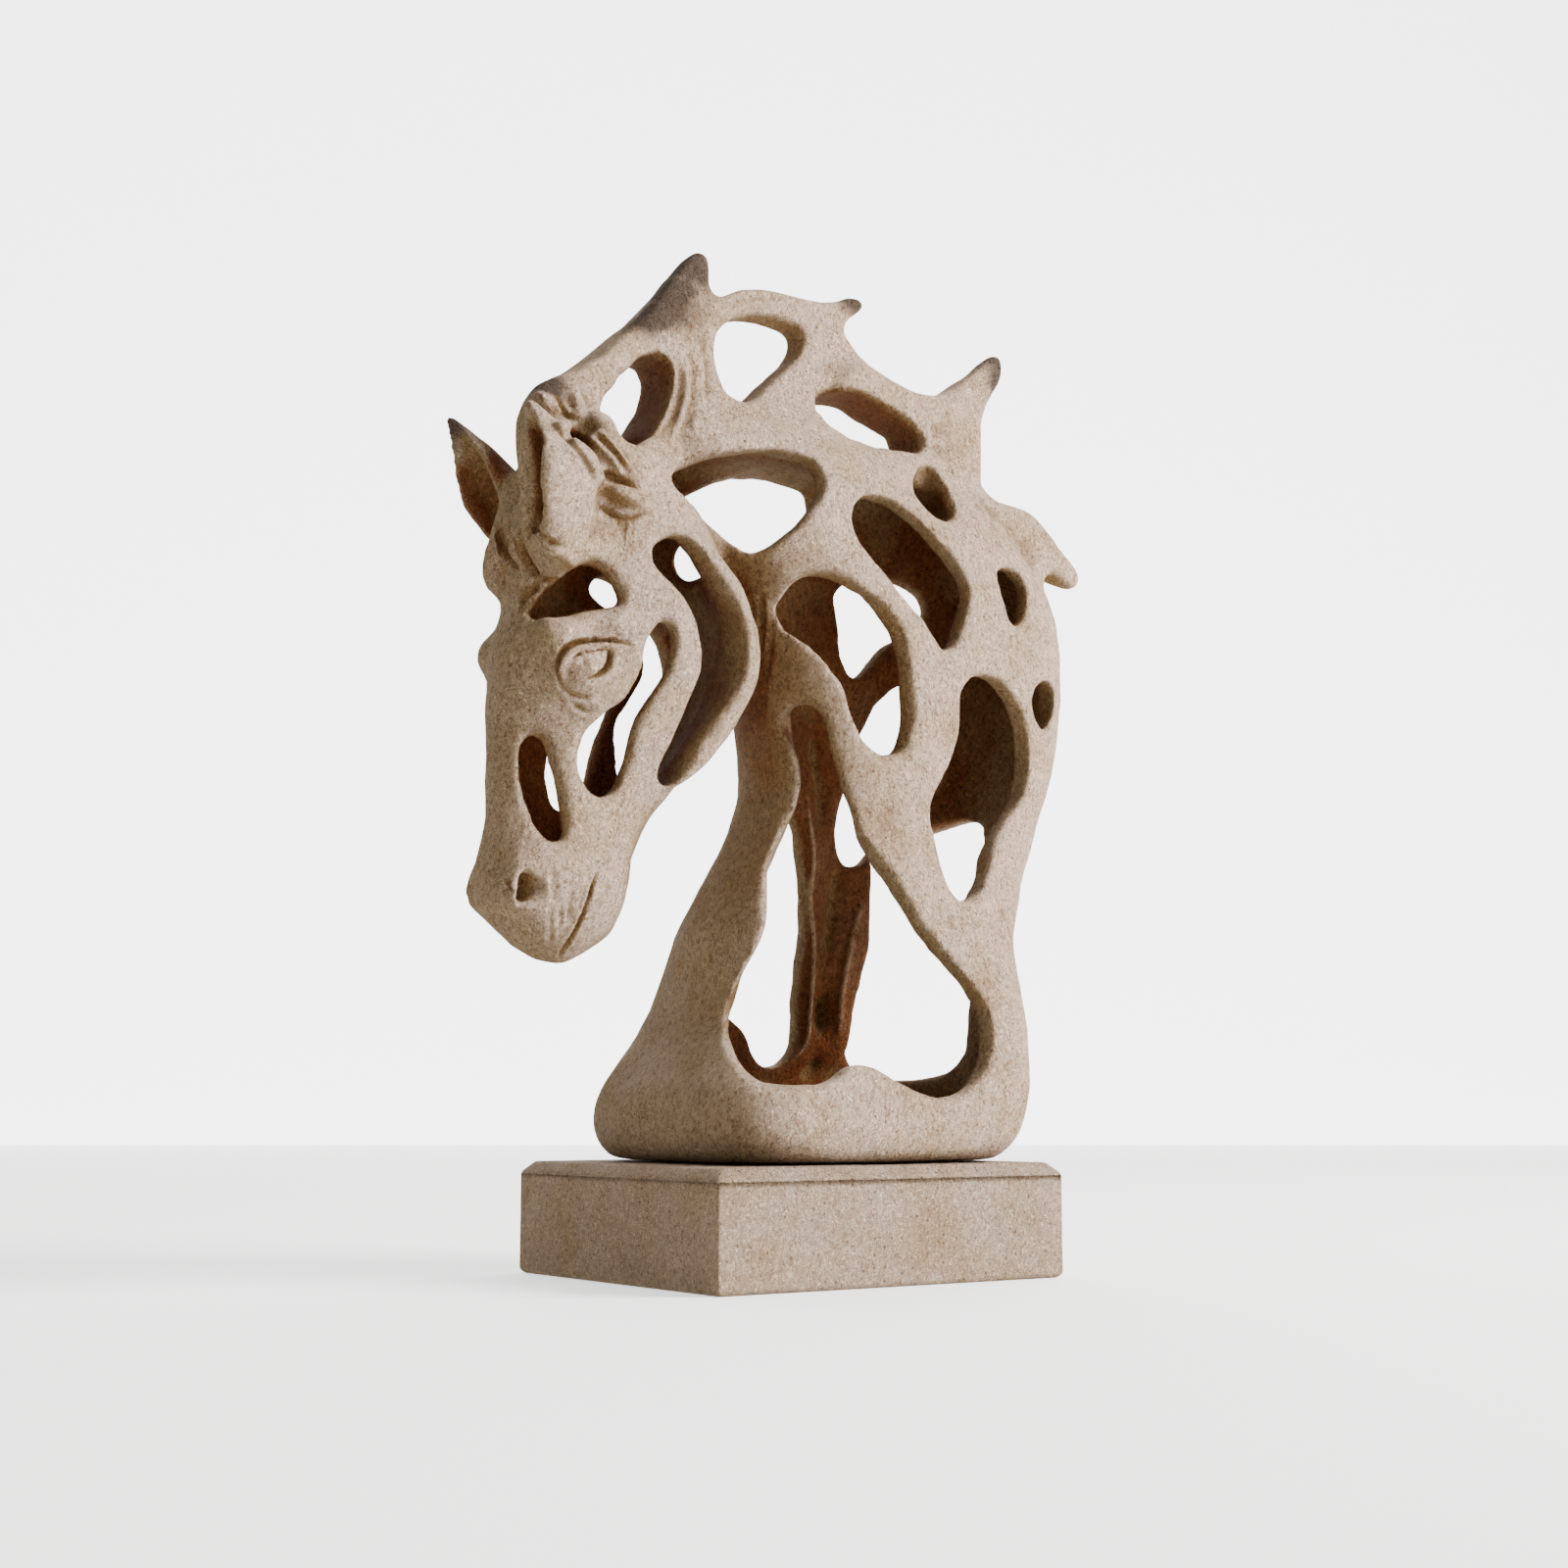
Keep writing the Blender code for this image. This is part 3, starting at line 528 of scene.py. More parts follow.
def all_strokes(skin):
    """Every stroke with its places, first on the near side and then on the far one."""
    out = []
    for name, (depth, width, lip, both, _) in STROKES.items():
        for far in range(1 + both):
            places, facing = stroke_places(name, skin, far)
            out.append((depth * MM, width * MM, lip * MM, places, facing))
    return out


def carve(co, normals, groove, stroke):
    """Press one stroke into the vertices near it, or raise it, thinning out at both ends."""
    depth, width, lip, places, facing = stroke
    reach = STROKE_REACH * width
    near = np.where(((co > places.min(0) - reach) & (co < places.max(0) + reach)).all(1))[0]
    if not len(near):
        return
    gap = np.linalg.norm(co[near][:, None] - places[None], axis=2)
    nearest = gap.argmin(1)
    r = gap.min(1)
    steps = np.linalg.norm(np.diff(places, axis=0), axis=1)
    along = np.concatenate([[0.0], np.cumsum(steps)])
    thinning = max(STROKE_ENDS * along[-1], LEAST_END * width)
    from_end = np.minimum(along, along[-1] - along)
    ends = np.clip(from_end / thinning + END_DEPTH, 0, 1)[nearest]
    alike = np.clip((normals[near] * facing[nearest]).sum(1) + SIDE_SHARE, 0, 1)
    strength = ends * alike
    cut = np.exp(-(r / width) ** 2)
    lips = np.exp(-((r - LIP_PLACE * width) / width) ** 2)
    push = (depth * cut - lip * lips) * strength
    co[near] -= facing[nearest] * push[:, None]
    # Share of brown wash and painted shade in the groove; raised strokes get a share below zero,
    # which lightens them
    dark = cut * strength * np.clip(depth / (DARK_SHAPE * width), -1.0, 1.0)
    groove[near] = np.where(np.abs(dark) > np.abs(groove[near]), dark, groove[near])


def drop_twins(shape):
    """Delete the triangles that lie back to back on the same three corners."""
    on_corners = {}
    for face in shape.faces:
        on_corners.setdefault(frozenset(face.verts), []).append(face)
    twins = [face for faces in on_corners.values() if len(faces) > 1 for face in faces]
    bmesh.ops.delete(shape, geom=twins, context="FACES")


def refined(mesh, strokes, reach, edge_length, rounds):
    """The mesh with the edges near the strokes cut short, so that they can take fine carving."""
    tree = KDTree(sum(len(stroke[3]) for stroke in strokes))
    for stroke in strokes:
        for place in stroke[3]:
            tree.insert(place, 0)
    tree.balance()
    shape = bmesh.new()
    shape.from_mesh(mesh)
    for _ in range(rounds):
        near = {v for v in shape.verts if tree.find(v.co)[2] < reach}
        long = [e for e in shape.edges
                if e.verts[0] in near and e.verts[1] in near and e.calc_length() > edge_length]
        bmesh.ops.subdivide_edges(shape, edges=long, cuts=1, use_grid_fill=True)
        bmesh.ops.triangulate(shape, faces=[f for f in shape.faces if len(f.verts) > 3])
        drop_twins(shape)
    shape.to_mesh(mesh)
    shape.free()


def roughened(co, normals, amounts):
    """Push the vertices in and out by soft noise: amounts is (size, height) pairs."""
    push = np.zeros(len(co))
    for size, height in amounts:
        push += height * np.array([noise.noise(Vector(place) / size) for place in co])
    co += normals * push[:, None]


def sphere_of_rays(count):
    """Directions spread evenly over a sphere."""
    turn = math.pi * (3 - math.sqrt(5))
    out = []
    for i in range(count):
        z = 1 - 2 * (i + 0.5) / count
        flat = math.sqrt(1 - z * z)
        out.append(Vector((flat * math.cos(turn * i), flat * math.sin(turn * i), z)))
    return out


def sheltered(mesh, rays, reach, near_reach):
    """How closed in each vertex is, from afar and from close by, 0 in the open to 1."""
    tree = BVHTree.FromPolygons([v.co for v in mesh.vertices],
                                [p.vertices for p in mesh.polygons])
    wide = np.zeros(len(mesh.vertices))
    close = np.zeros(len(mesh.vertices))
    for i, (vertex, way) in enumerate(zip(mesh.vertices, mesh.vertex_normals)):
        normal = way.vector
        start = vertex.co + normal * RAY_LIFT
        total = far = by = 0.0
        for ray in rays:
            weight = normal.dot(ray)
            if weight < LEAST_SLOPE:
                continue
            total += weight
            distance = tree.ray_cast(start, ray, reach)[3]
            if distance is not None:
                far += weight * (1 - FAR_LOSS * distance / reach)
                if distance < near_reach:
                    by += weight
        if total:
            wide[i] = far / total
            close[i] = by / total
    return wide, close


def neighbour_mean(mesh, values, rounds):
    """The values smoothed over the mesh's edges."""
    ends = np.empty(len(mesh.edges) * 2, int)
    mesh.edges.foreach_get("vertices", ends)
    a, b = ends.reshape(-1, 2).T
    count = np.bincount(np.concatenate([a, b]), minlength=len(mesh.vertices)).astype(float)
    count = np.maximum(count, 1.0)
    out = values.astype(float)
    for _ in range(rounds):
        if out.ndim == 1:
            total = np.bincount(a, out[b], len(out)) + np.bincount(b, out[a], len(out))
            out = total / count
        else:
            out = np.stack([
                (np.bincount(a, c[b], len(c)) + np.bincount(b, c[a], len(c))) / count
                for c in out.T], axis=1)
    return out


def inner_side(mesh, shelter):
    """Where the skin is the shell's inner side, facing the middle plane: 0 to 1."""
    co = coordinates(mesh)
    facing = -directions(mesh)[:, 1] * np.sign(co[:, 1])
    away = np.clip((np.abs(co[:, 1]) - MIDDLE_PLANE) / MIDDLE_FADE, 0, 1)
    away *= np.clip((INNER_TOP - co[:, 2]) / INNER_FADE, 0, 1)
    shut_in = np.clip(shelter / SHELTERED_ENOUGH, 0, 1)
    return neighbour_mean(mesh, np.clip(facing, 0, 1) * away * shut_in, 2)


def dark_tips(mesh, skin):
    """How near each vertex is to a tip that has kept a dark wash, 0 to 1."""
    co = coordinates(mesh)
    out = np.zeros(len(co))
    for px, py, reach in DARK_TIPS:
        gap = np.linalg.norm(co - np.array(skin.seen_at(px, py)[0]), axis=1)
        out = np.maximum(out, np.exp(-(gap / (reach * MM)) ** 2))
    return out


def edge_relief(mesh, rounds):
    """How far each vertex stands out of its surroundings, in metres; hollows are below zero."""
    co = coordinates(mesh)
    flat = neighbour_mean(mesh, co, rounds)
    return ((co - flat) * directions(mesh)).sum(1)


# Finish

def grain_group():
    """The cast stone's worm-like grain, scratches and pits, as a height and masks; made once."""
    made = bpy.data.node_groups.get("stone_grain")
    if made:
        return made
    tree = bpy.data.node_groups.new("stone_grain", "ShaderNodeTree")
    for name, kind in (("Vector", "NodeSocketVector"), ("Grain Size", "NodeSocketFloat"),
                       ("Pit Spacing", "NodeSocketFloat"), ("Pit Share", "NodeSocketFloat")):
        tree.interface.new_socket(name, in_out="INPUT", socket_type=kind)
    for name in ("Height", "Pits", "Mottle", "Streaks", "Worms"):
        tree.interface.new_socket(name, in_out="OUTPUT", socket_type="NodeSocketFloat")
    given = add_node(tree, "NodeGroupInput").outputs
    grain_scale = maths(tree, "DIVIDE", 1.0, given["Grain Size"])
    worms = add_node(tree, "ShaderNodeTexNoise", {
        "Vector": given["Vector"], "Scale": grain_scale, "Detail": 2.0, "Roughness": 0.55,
        "Distortion": 1.6}).outputs["Fac"]
    ridges = maths(tree, "ABSOLUTE", maths(tree, "SUBTRACT", worms, 0.5))
    ridges = ramped(tree, ridges, 0.0, 0.09, 1.0, 0.0)
    upright = vector_maths(tree, "MULTIPLY", given["Vector"], (1.0, 1.0, 0.6))
    streaks = add_node(tree, "ShaderNodeTexNoise", {
        "Vector": upright, "Scale": grain_scale, "Detail": 5.0, "Roughness": 0.66,
        "Distortion": 1.1}).outputs["Fac"]
    pit_scale = maths(tree, "DIVIDE", 1.0, given["Pit Spacing"])
    cells = add_node(tree, "ShaderNodeTexVoronoi",
                     {"Vector": given["Vector"], "Scale": pit_scale}, feature="F1")
    pits = ramped(tree, cells.outputs["Distance"], 0.08, 0.30, 1.0, 0.0)
    chosen = add_node(tree, "ShaderNodeSeparateColor", {"Color": cells.outputs["Color"]})
    chosen = ramped(tree, chosen.outputs[0], given["Pit Share"],
                    maths(tree, "ADD", given["Pit Share"], 0.04), 1.0, 0.0)
    pits = maths(tree, "MULTIPLY", pits, chosen)
    mottle = add_node(tree, "ShaderNodeTexNoise", {
        "Vector": given["Vector"], "Scale": maths(tree, "MULTIPLY", grain_scale, PATCH_SCALE),
        "Detail": 3.0, "Roughness": 0.6}).outputs["Fac"]
    height = maths(tree, "ADD", maths(tree, "MULTIPLY", streaks, STREAK_HEIGHT),
                   maths(tree, "MULTIPLY", ridges, WORM_HEIGHT))
    height = maths(tree, "SUBTRACT", height, maths(tree, "MULTIPLY", pits, PIT_HEIGHT))
    add_node(tree, "NodeGroupOutput",
             {"Height": height, "Pits": pits, "Mottle": mottle, "Streaks": streaks,
              "Worms": ridges})
    return tree


def attribute(tree, name):
    """The mesh's own attribute of that name."""
    return add_node(tree, "ShaderNodeAttribute", attribute_name=name).outputs["Fac"]


def wash_and_shade_masks(tree, mottle):
    """The masks that the washes and the painted shade follow, their edges moved by the stone's
    patches.
    """
    patches = maths(tree, "SUBTRACT", mottle, 0.5)
    wave = maths(tree, "MULTIPLY", patches, WASH_AND_SHADE_WAVE)
    inside = maths(tree, "ADD", attribute(tree, "shelter"), wave)
    inner = maths(tree, "ADD", attribute(tree, "inner"), wave)
    return {
        "tips": maths(tree, "ADD", attribute(tree, "tips"), patches),
        "close": attribute(tree, "close"),
        "inside": inside,
        "inner": inner,
        "deep_inside": maths(tree, "MULTIPLY", inner, inside),
        "groove": attribute(tree, "groove"),
        "relief": attribute(tree, "relief"),
    }


def stone_material(name, look, washed, shade=1.0):
    """Sandstone-finished resin: pale where it stands out, brown wash and painted shade where it is
    sheltered.
    """
    material = bpy.data.materials.new(name)
    material.use_nodes = True
    tree = material.node_tree
    shader = tree.nodes["Principled BSDF"]
    place = add_node(tree, "ShaderNodeTexCoord").outputs["Object"]
    stone = add_node(tree, "ShaderNodeGroup", node_tree=grain_group())
    tree.links.new(place, stone.inputs["Vector"])
    stone.inputs["Grain Size"].default_value = look.grain_size
    stone.inputs["Pit Spacing"].default_value = look.pit_spacing
    stone.inputs["Pit Share"].default_value = look.pit_share
    mottle = stone.outputs["Mottle"]
    colour = blended(tree, ramped(tree, mottle, 0.34, 0.78), (*look.pale, 1), (*look.warm, 1))
    # Painted shade: faces turned from the key light, mostly the front and the underside, take the
    # olive tint, together with the front's browner wash
    normal = add_node(tree, "ShaderNodeNewGeometry").outputs["Normal"]
    forward = vector_maths(tree, "DOT_PRODUCT", normal, FRONT_WASH_AND_SHADE_WAY)
    front_wash_and_shade = look.front_wash_and_shade * (1.0 if washed else PLINTH_FRONT_WASH_AND_SHADE)
    forward = ramped(tree, forward, -0.25, 0.65, 0.0, front_wash_and_shade)
    colour = blended(tree, forward, colour, (*look.olive, 1))
    # Brown wash with painted shade in sheltered places, on inner walls, in grooves and in hollows
    if washed:
        masks = wash_and_shade_masks(tree, mottle)
        for mask, start, full, share, paint in WASH_AND_SHADE_LAYERS:
            wash = ramped(tree, masks[mask], start, full, 0.0, share)
            colour = blended(tree, wash, colour, (*getattr(look, paint), 1))
    # Dark speckle and worm lines in the colour: partly the stone's own grain, partly painted shade
    # of its fine relief
    speckle_and_shade = look.speckle_and_shade * (1.0 if washed else PLINTH_SPECKLE_AND_SHADE)
    speckle_and_shade = ramped(tree, stone.outputs["Streaks"], 0.36, 0.56, speckle_and_shade, 0.0)
    lines = maths(tree, "MULTIPLY", stone.outputs["Worms"], look.worms)
    grain_speckle_and_shade = maths(tree, "ADD", speckle_and_shade, lines, True)
    colour = blended(tree, grain_speckle_and_shade, colour, (*look.grain, 1), "MULTIPLY")
    pits = maths(tree, "MULTIPLY", stone.outputs["Pits"], PIT_WASH)
    colour = blended(tree, pits, colour, (*look.wash, 1))
    colour = blended(tree, 1.0, colour, (shade, shade, shade, 1), "MULTIPLY")
    tree.links.new(colour, shader.inputs["Base Color"])
    tree.links.new(ramped(tree, mottle, 0.3, 0.7, 0.82, 0.95), shader.inputs["Roughness"])
    bump = add_node(tree, "ShaderNodeBump", {
        "Strength": look.grain_strength, "Distance": look.grain_depth,
        "Height": stone.outputs["Height"]})
    tree.links.new(bump.outputs["Normal"], shader.inputs["Normal"])
    shader.inputs["Specular IOR Level"].default_value = SPECULAR
    return material


# Settings that a user may change

def colour_property(name, description, default):
    """A colour the user may change."""
    return FloatVectorProperty(name=name, description=description, default=default,
                               subtype="COLOR", size=3, min=0.0, max=1.0)


def length_property(name, description, default):
    """A length the user may change."""
    return FloatProperty(name=name, description=description, default=default, unit="LENGTH",
                         min=0.0)


class StoneLook(bpy.types.PropertyGroup):
    """Colours and grain of the cast stone, some of them carrying painted shade."""
    pale: colour_property("Pale", "Stone where it stands out", (0.83, 0.62, 0.475))
    warm: colour_property("Warm", "Stone in its darker patches", (0.67, 0.475, 0.30))
    # Olive is partly a browner wash on the front and partly painted shade of the faces turned from
    # the key light
    olive: colour_property("Olive", "Wash on the front", (0.205, 0.138, 0.058))
    # Ochre, wash, deep and hollow: the stone's brown wash together with painted shade in openings,
    # grooves and hollows
    ochre: colour_property("Ochre", "Sides of the openings", (0.265, 0.155, 0.058))
    wash: colour_property("Wash", "Brown wash inside", (0.19, 0.060, 0.014))
    deep: colour_property("Deep", "Wash left in grooves", (0.085, 0.024, 0.006))
    hollow: colour_property("Hollow", "Wash deep in the hollows", (0.19, 0.048, 0.011))
    # Speckle, worms and grain: the stone's own dark grain, together with painted shade of its fine
    # relief
    speckle_and_shade: FloatProperty(name="Speckle", description="Strength of the dark grain",
                           default=0.62, subtype="FACTOR", min=0.0, max=1.0)
    worms: FloatProperty(name="Worms", description="Strength of the worm-like lines",
                         default=0.38, subtype="FACTOR", min=0.0, max=1.0)
    grain: colour_property("Grain", "What the grain darkens by", (0.42, 0.34, 0.26))
    tip: colour_property("Tips", "Grey-brown wash on the tips", (0.06, 0.042, 0.031))
    # Strength of the olive tint, wash and painted shade together
    front_wash_and_shade: FloatProperty(name="Front wash", description="Strength of the wash on the front",
                              default=0.85, subtype="FACTOR", min=0.0, max=1.0)
    grain_size: length_property("Grain size", "Size of one mark of the grain", 1.6 * MM)
    grain_depth: length_property("Grain depth", "Height of the grain", 2.6 * MM)
    grain_strength: FloatProperty(name="Grain strength", description="How much the grain shades",
                                  default=1.0, subtype="FACTOR", min=0.0, max=1.0)
    pit_spacing: length_property("Pit spacing", "Distance between pits", 2.6 * MM)
    pit_share: FloatProperty(name="Pit share", description="Share of the cells with a pit",
                             default=0.35, subtype="FACTOR", min=0.0, max=1.0)


class FigureSizes(bpy.types.PropertyGroup):
    """Sizes of the carved figure's mesh."""
    form_voxel: length_property("Form voxel", "Fineness of the first skin", 1.25 * MM)
    form_triangles: IntProperty(name="Form triangles", description="Triangles before the carving",
                                default=128000, min=20000)
    form_smoothing: IntProperty(name="Smoothing", description="Rounds of smoothing", default=6)
    fine_edge: length_property("Fine edge", "Longest edge beside a stroke", 0.9 * MM)
    fine_reach: length_property("Fine reach", "How far from a stroke edges are cut", 5.0 * MM)
    fine_rounds: IntProperty(name="Fine rounds", description="Rounds of cutting", default=2)
    lock_sides: IntProperty(name="Lock sides", description="Sides of a strand", default=12, min=3)
    uneven: length_property("Unevenness", "Height of the hand-worked swells", 0.9 * MM)
    shelter_rays: IntProperty(name="Rays", description="Rays that find sheltered places",
                              default=44, min=8)
    shelter_reach: length_property("Shelter reach", "Length of those rays", 120 * MM)


class PlinthSizes(bpy.types.PropertyGroup):
    """Sizes of the plinth's finish."""
    chamfer: length_property("Chamfer", "Width of the top edge's chamfer", 4.5 * MM)
    edge: length_property("Edge", "Radius of every edge", 0.9 * MM)
    foot: length_property("Foot", "Bevel of the lower edge", 1.5 * MM)
    cell: length_property("Cell", "Spacing of the mesh over the faces", 2.6 * MM)
    shade: FloatProperty(name="Shade", description="Darkening against the figure's stone",
                         default=0.80, subtype="FACTOR", min=0.0, max=1.0)
    worn: length_property("Wear", "Depth of the uneven surface", 0.35 * MM)


class StageSettings(bpy.types.PropertyGroup):
    """Floor, lights and surroundings."""
    floor_size: length_property("Floor", "Side of the floor", 8.0)
    floor_colour: colour_property("Floor colour", "Colour of the floor and the wall",
                                  (0.90, 0.90, 0.89))
    key_power: FloatProperty(name="Key", description="Power of the large light", default=88.0,
                             unit="POWER")
    fill_power: FloatProperty(name="Fill", description="Power of the soft light", default=1.0,
                              unit="POWER")
    floor_glow: FloatProperty(name="Floor glow", description="Light of the floor", default=0.9)
    backdrop_glow: FloatProperty(name="Backdrop glow", description="Light of the backdrop",
                                 default=3.2)
    sky_strength: FloatProperty(name="Sky", description="Strength of the surroundings",
                                default=0.90)


# Pieces

def fused_form(cast, sizes, material):
    """The cast figure rounded off and fused with its locks of hair, as one closed mesh."""
    skin = Skin(cast)
    tree = strands_tree()
    rounded = new_object("rounded", cast)
    subdivide = rounded.modifiers.new("rounded", "SUBSURF")
    subdivide.levels = subdivide.render_levels = 1
    shape = bmesh.new()
    shape.from_mesh(settled(rounded))
    for name, lock in LOCKS.items():
        shape.from_mesh(lock_mesh(name, lock, skin, tree, sizes.lock_sides, material))
    form = bpy.data.meshes.new("form")
    shape.to_mesh(form)
    shape.free()
    form = new_object("form", form)
    fuse = form.modifiers.new("fuse", "REMESH")
    fuse.mode = "VOXEL"
    fuse.voxel_size = sizes.form_voxel
    soften = form.modifiers.new("soften", "SMOOTH")
    soften.factor = SMOOTHING
    soften.iterations = sizes.form_smoothing
    mesh = settled(form)
    mesh.calc_loop_triangles()
    if not mesh.loop_triangles:
        raise RuntimeError("the fused figure came out empty")
    share = min(1.0, sizes.form_triangles / len(mesh.loop_triangles))
    form = new_object("form", mesh)
    thin = form.modifiers.new("thin", "DECIMATE")
    thin.use_collapse_triangulate = True
    thin.ratio = share
    return settled(form)


def swell_skin(mesh, uneven):
    """Give the skin its hand-worked swells, and leave the foot flat."""
    co = coordinates(mesh)
    above_foot = co[:, 2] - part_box("horse")[0].z
    calm = np.clip((above_foot - CALM_FOOT) / CALM_STRETCH, 0, 1)
    swell = co.copy()
    roughened(swell, directions(mesh), [(size, share * uneven) for size, share in SWELLS])
    co += (swell - co) * calm[:, None]
    place_vertices(mesh, co)


def carved(mesh, skin, sizes):
    """Carve every stroke into the mesh and return how deep in a groove each vertex is."""
    strokes = all_strokes(skin)
    refined(mesh, strokes, sizes.fine_reach, sizes.fine_edge, sizes.fine_rounds)
    co = coordinates(mesh)
    normals = directions(mesh)
    groove = np.zeros(len(co))
    for stroke in strokes:
        carve(co, normals, groove, stroke)
    place_vertices(mesh, co)
    return groove


class HORSE_OT_figure(bpy.types.Operator):
    """Carve and finish the cast horse"""
    bl_idname = "horse.figure"
    bl_label = "Cast horse"

    def execute(self, context):
        sizes = context.scene.horse_figure
        material = stone_material("cast_stone", context.scene.horse_stone, True)
        mesh = fused_form(merged_copy("horse"), sizes, material)
        swell_skin(mesh, sizes.uneven)
        skin = Skin(mesh)
        groove = carved(mesh, skin, sizes)
        # Shelter, closeness and the inner side lead the brown wash and the painted shade
        wide, close = sheltered(mesh, sphere_of_rays(sizes.shelter_rays), sizes.shelter_reach,
                                CLOSE_REACH)
        write_attribute(mesh, "shelter", neighbour_mean(mesh, wide, 2))
        write_attribute(mesh, "close", neighbour_mean(mesh, close, 1))
        write_attribute(mesh, "inner", inner_side(mesh, wide))
        write_attribute(mesh, "groove", groove)
        write_attribute(mesh, "tips", dark_tips(mesh, skin))
        write_attribute(mesh, "relief", edge_relief(mesh, RELIEF_ROUNDS) / MM)
        finished("carved_horse", mesh, material, "horse")
        return {"FINISHED"}


def cut_in_cells(shape, low, high, cell):
    """Cut a block's faces by evenly spaced planes across each axis."""
    for axis in range(3):
        way = Vector([float(i == axis) for i in range(3)])
        cuts = int((high[axis] - low[axis]) / cell)
        for i in range(1, cuts):
            at = low[axis] + (high[axis] - low[axis]) * i / cuts
            geometry = list(shape.verts) + list(shape.edges) + list(shape.faces)
            bmesh.ops.bisect_plane(shape, geom=geometry, plane_co=way * at, plane_no=way)


class HORSE_OT_plinth(bpy.types.Operator):
    """Finish the chamfered plinth"""
    bl_idname = "horse.plinth"
    bl_label = "Plinth"

    def execute(self, context):
        sizes = context.scene.horse_plinth
        low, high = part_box("plinth")
        shape = bmesh.new()
        bmesh.ops.create_cube(shape, size=1.0)
        bmesh.ops.scale(shape, vec=high - low, verts=shape.verts)
        bmesh.ops.translate(shape, vec=(low + high) / 2, verts=shape.verts)
        for height, width in ((high.z, sizes.chamfer), (low.z, sizes.foot)):
            rim = [e for e in shape.edges if all(abs(v.co.z - height) < TOUCHING for v in e.verts)]
            bmesh.ops.bevel(shape, geom=rim, offset=width, segments=1, profile=0.5,
                            affect="EDGES")
        soft = [e for e in shape.edges if e.is_manifold and e.calc_face_angle() > SHARP]
        bmesh.ops.bevel(shape, geom=soft, offset=sizes.edge, segments=2, profile=0.5,
                        affect="EDGES", clamp_overlap=True)
        cut_in_cells(shape, low, high, sizes.cell)
        bmesh.ops.triangulate(shape, faces=shape.faces)
        mesh = bpy.data.meshes.new("plinth_block")
        shape.to_mesh(mesh)
        shape.free()
        co = coordinates(mesh)
        normals = directions(mesh)
        worn = np.zeros(len(co))
        for size, share in PLINTH_WEAR:
            worn += share * np.array([0.5 + 0.5 * noise.noise(Vector(p) / size) for p in co])
        worn[co[:, 2] < low.z + UNDERSIDE] = 0.0
        co -= normals * (worn * sizes.worn)[:, None]
        place_vertices(mesh, co)
        material = stone_material("plinth_stone", context.scene.horse_stone, False, sizes.shade)
        finished("plinth_block", mesh, material, "plinth")
        return {"FINISHED"}


def area_light(name, power, size, place, colour):
    """A round area light that looks at the sculpture's middle."""
    light = bpy.data.lights.new(name, "AREA")
    light.shape = "DISK"
    light.size = size
    light.energy = power
    light.color = colour
    obj = new_object(name, light)
    obj.location = place
    way = Vector(LIT_PLACE) - Vector(place)
    obj.rotation_euler = way.to_track_quat("-Z", "Y").to_euler()


def glowing_plane(name, material, size, colour, roughness, glow):
    """A flat square of an even colour that also gives light."""
    shape = bmesh.new()
    bmesh.ops.create_grid(shape, x_segments=2, y_segments=2, size=size / 2)
    mesh = bpy.data.meshes.new(name)
    shape.to_mesh(mesh)
    shape.free()
    paint = bpy.data.materials.new(material)
    paint.use_nodes = True
    shader = paint.node_tree.nodes["Principled BSDF"]
    shader.inputs["Base Color"].default_value = (*colour, 1)
    shader.inputs["Roughness"].default_value = roughness
    shader.inputs["Emission Color"].default_value = WHITE
    shader.inputs["Emission Strength"].default_value = glow
    mesh.materials.append(paint)
    return new_object(name, mesh)


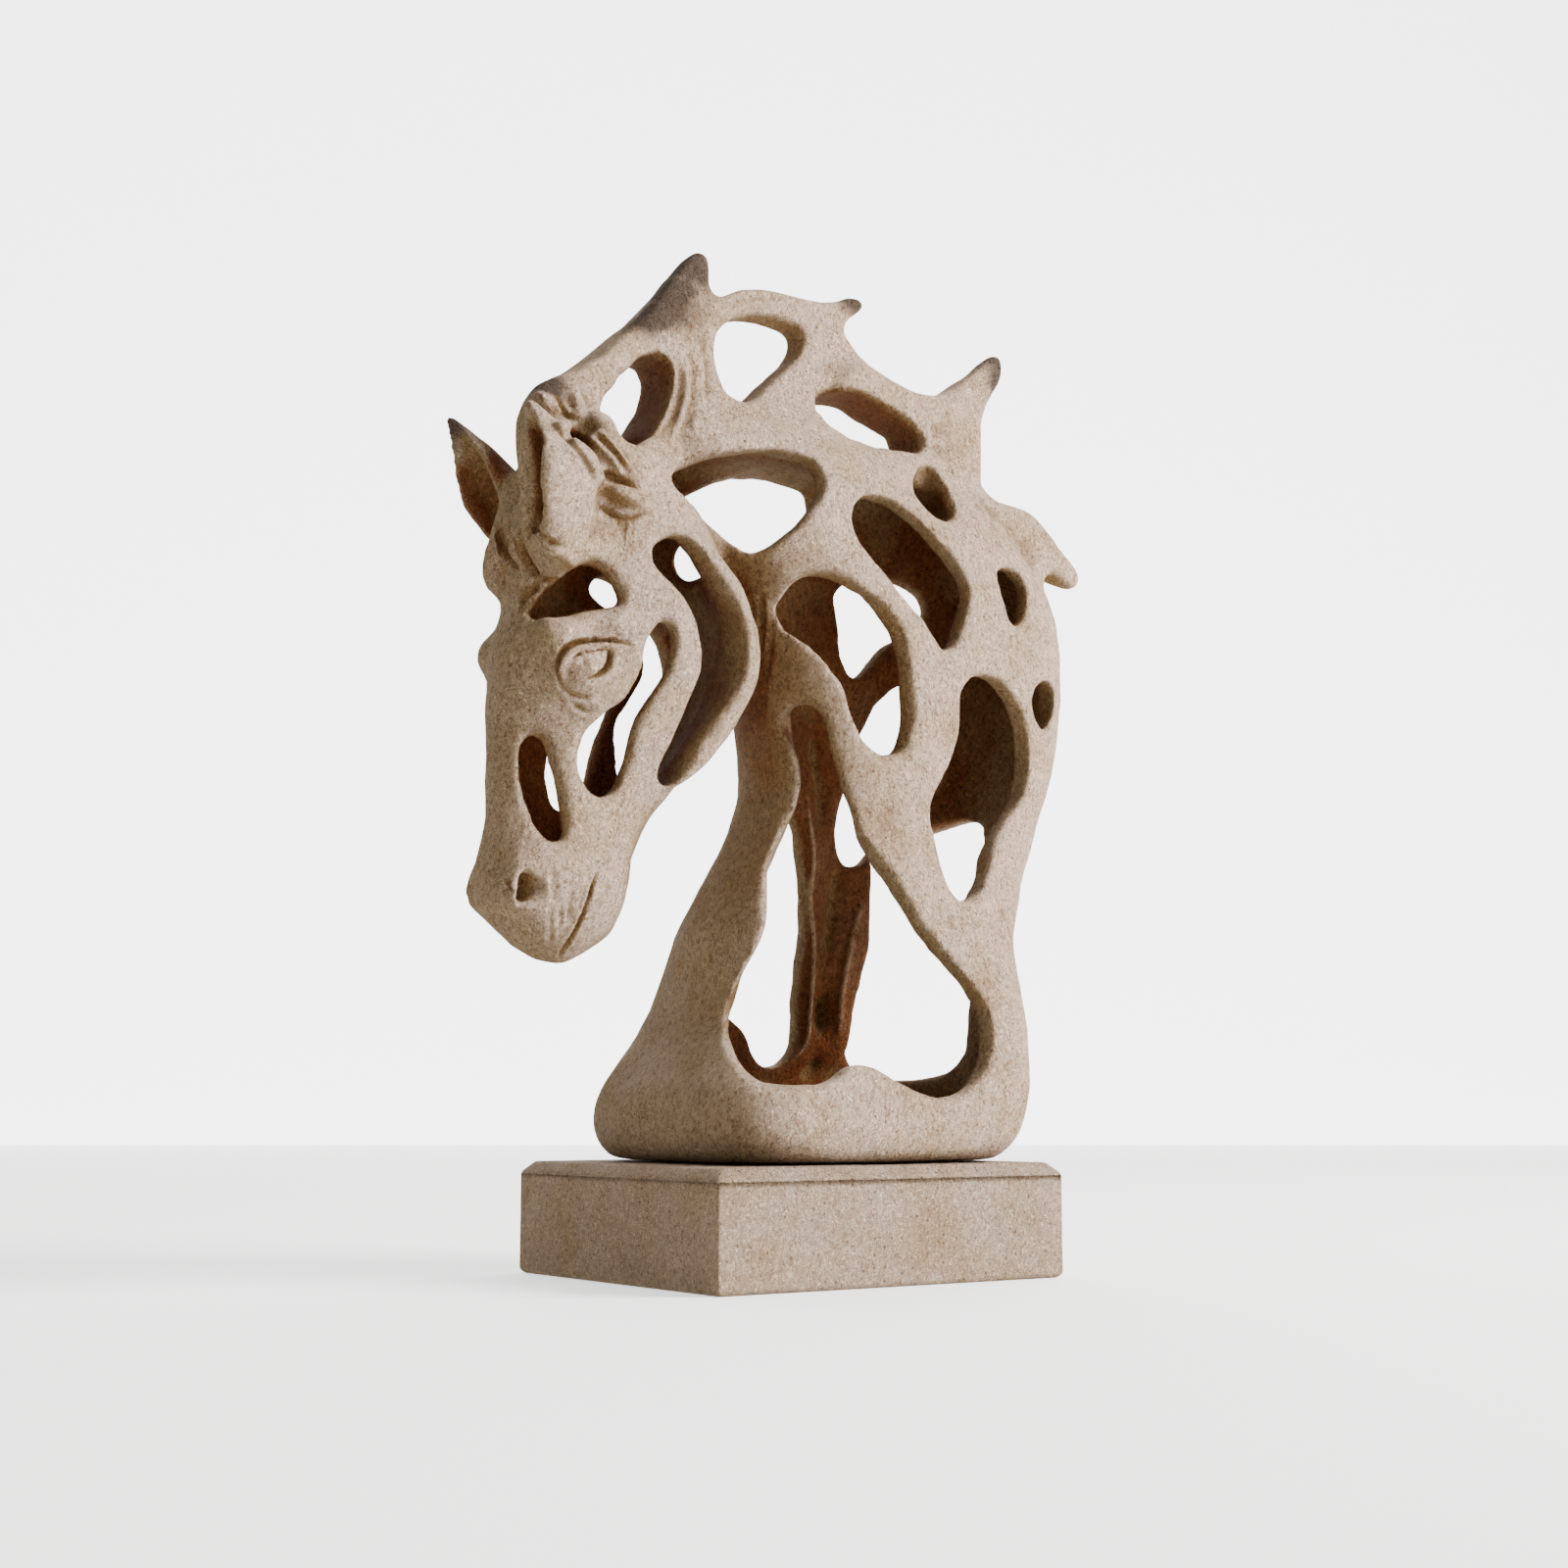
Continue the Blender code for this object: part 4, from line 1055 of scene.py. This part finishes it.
class HORSE_OT_stage(bpy.types.Operator):
    """Set the floor, the lights and the camera"""
    bl_idname = "horse.stage"
    bl_label = "Stage"

    def execute(self, context):
        settings = context.scene.horse_stage
        glowing_plane("floor", "pale_floor", settings.floor_size, settings.floor_colour,
                               FLOOR_ROUGHNESS, settings.floor_glow)
        wall = glowing_plane("backdrop", "lit_backdrop", settings.floor_size,
                             settings.floor_colour, BACKDROP_ROUGHNESS,
                             settings.backdrop_glow)
        wall.rotation_euler = (math.radians(90), 0, math.radians(CAMERA_TURN[2]))
        ahead = Vector((-math.sin(wall.rotation_euler.z), math.cos(wall.rotation_euler.z), 0))
        wall.location = Vector(CAMERA_PLACE) + BACKDROP_FAR * ahead
        area_light("key_light", settings.key_power, *KEY_LIGHT)
        area_light("fill_light", settings.fill_power, *FILL_LIGHT)
        world = bpy.data.worlds.new("studio")
        world.use_nodes = True
        sky = world.node_tree.nodes["Background"]
        sky.inputs["Color"].default_value = WHITE
        sky.inputs["Strength"].default_value = settings.sky_strength
        context.scene.world = world
        camera = bpy.data.cameras.new("camera")
        camera.lens = CAMERA_LENS
        camera.sensor_width = CAMERA_SENSOR
        camera.clip_start = 0.01
        camera.clip_end = 50.0
        obj = new_object("camera", camera)
        obj.location = CAMERA_PLACE
        obj.rotation_euler = [math.radians(a) for a in CAMERA_TURN]
        context.scene.camera = obj
        return {"FINISHED"}


# The panel and the start

class HORSE_PT_panel(bpy.types.Panel):
    """The sculpture's pieces"""
    bl_idname = "HORSE_PT_panel"
    bl_label = "Horse sculpture"
    bl_space_type = "VIEW_3D"
    bl_region_type = "UI"
    bl_category = "Horse"

    def draw(self, context):
        for operator in OPERATORS:
            self.layout.operator(operator.bl_idname)


OPERATORS = (HORSE_OT_figure, HORSE_OT_plinth, HORSE_OT_stage)
SETTINGS = {"horse_stone": StoneLook, "horse_figure": FigureSizes, "horse_plinth": PlinthSizes,
            "horse_stage": StageSettings}


def register():
    """Register the settings, the operators and the panel."""
    for group in SETTINGS.values():
        bpy.utils.register_class(group)
    for cls in (*OPERATORS, HORSE_PT_panel):
        bpy.utils.register_class(cls)
    for name, group in SETTINGS.items():
        setattr(bpy.types.Scene, name, PointerProperty(type=group))


def unregister():
    """Take away all that register added."""
    for name in SETTINGS:
        delattr(bpy.types.Scene, name)
    for cls in (HORSE_PT_panel, *reversed(OPERATORS)):
        bpy.utils.unregister_class(cls)
    for group in SETTINGS.values():
        bpy.utils.unregister_class(group)


def main():
    """Build every piece."""
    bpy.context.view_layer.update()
    register()
    bpy.ops.horse.stage()
    bpy.ops.horse.figure()
    bpy.ops.horse.plinth()


if __name__ == "__main__":
    main()
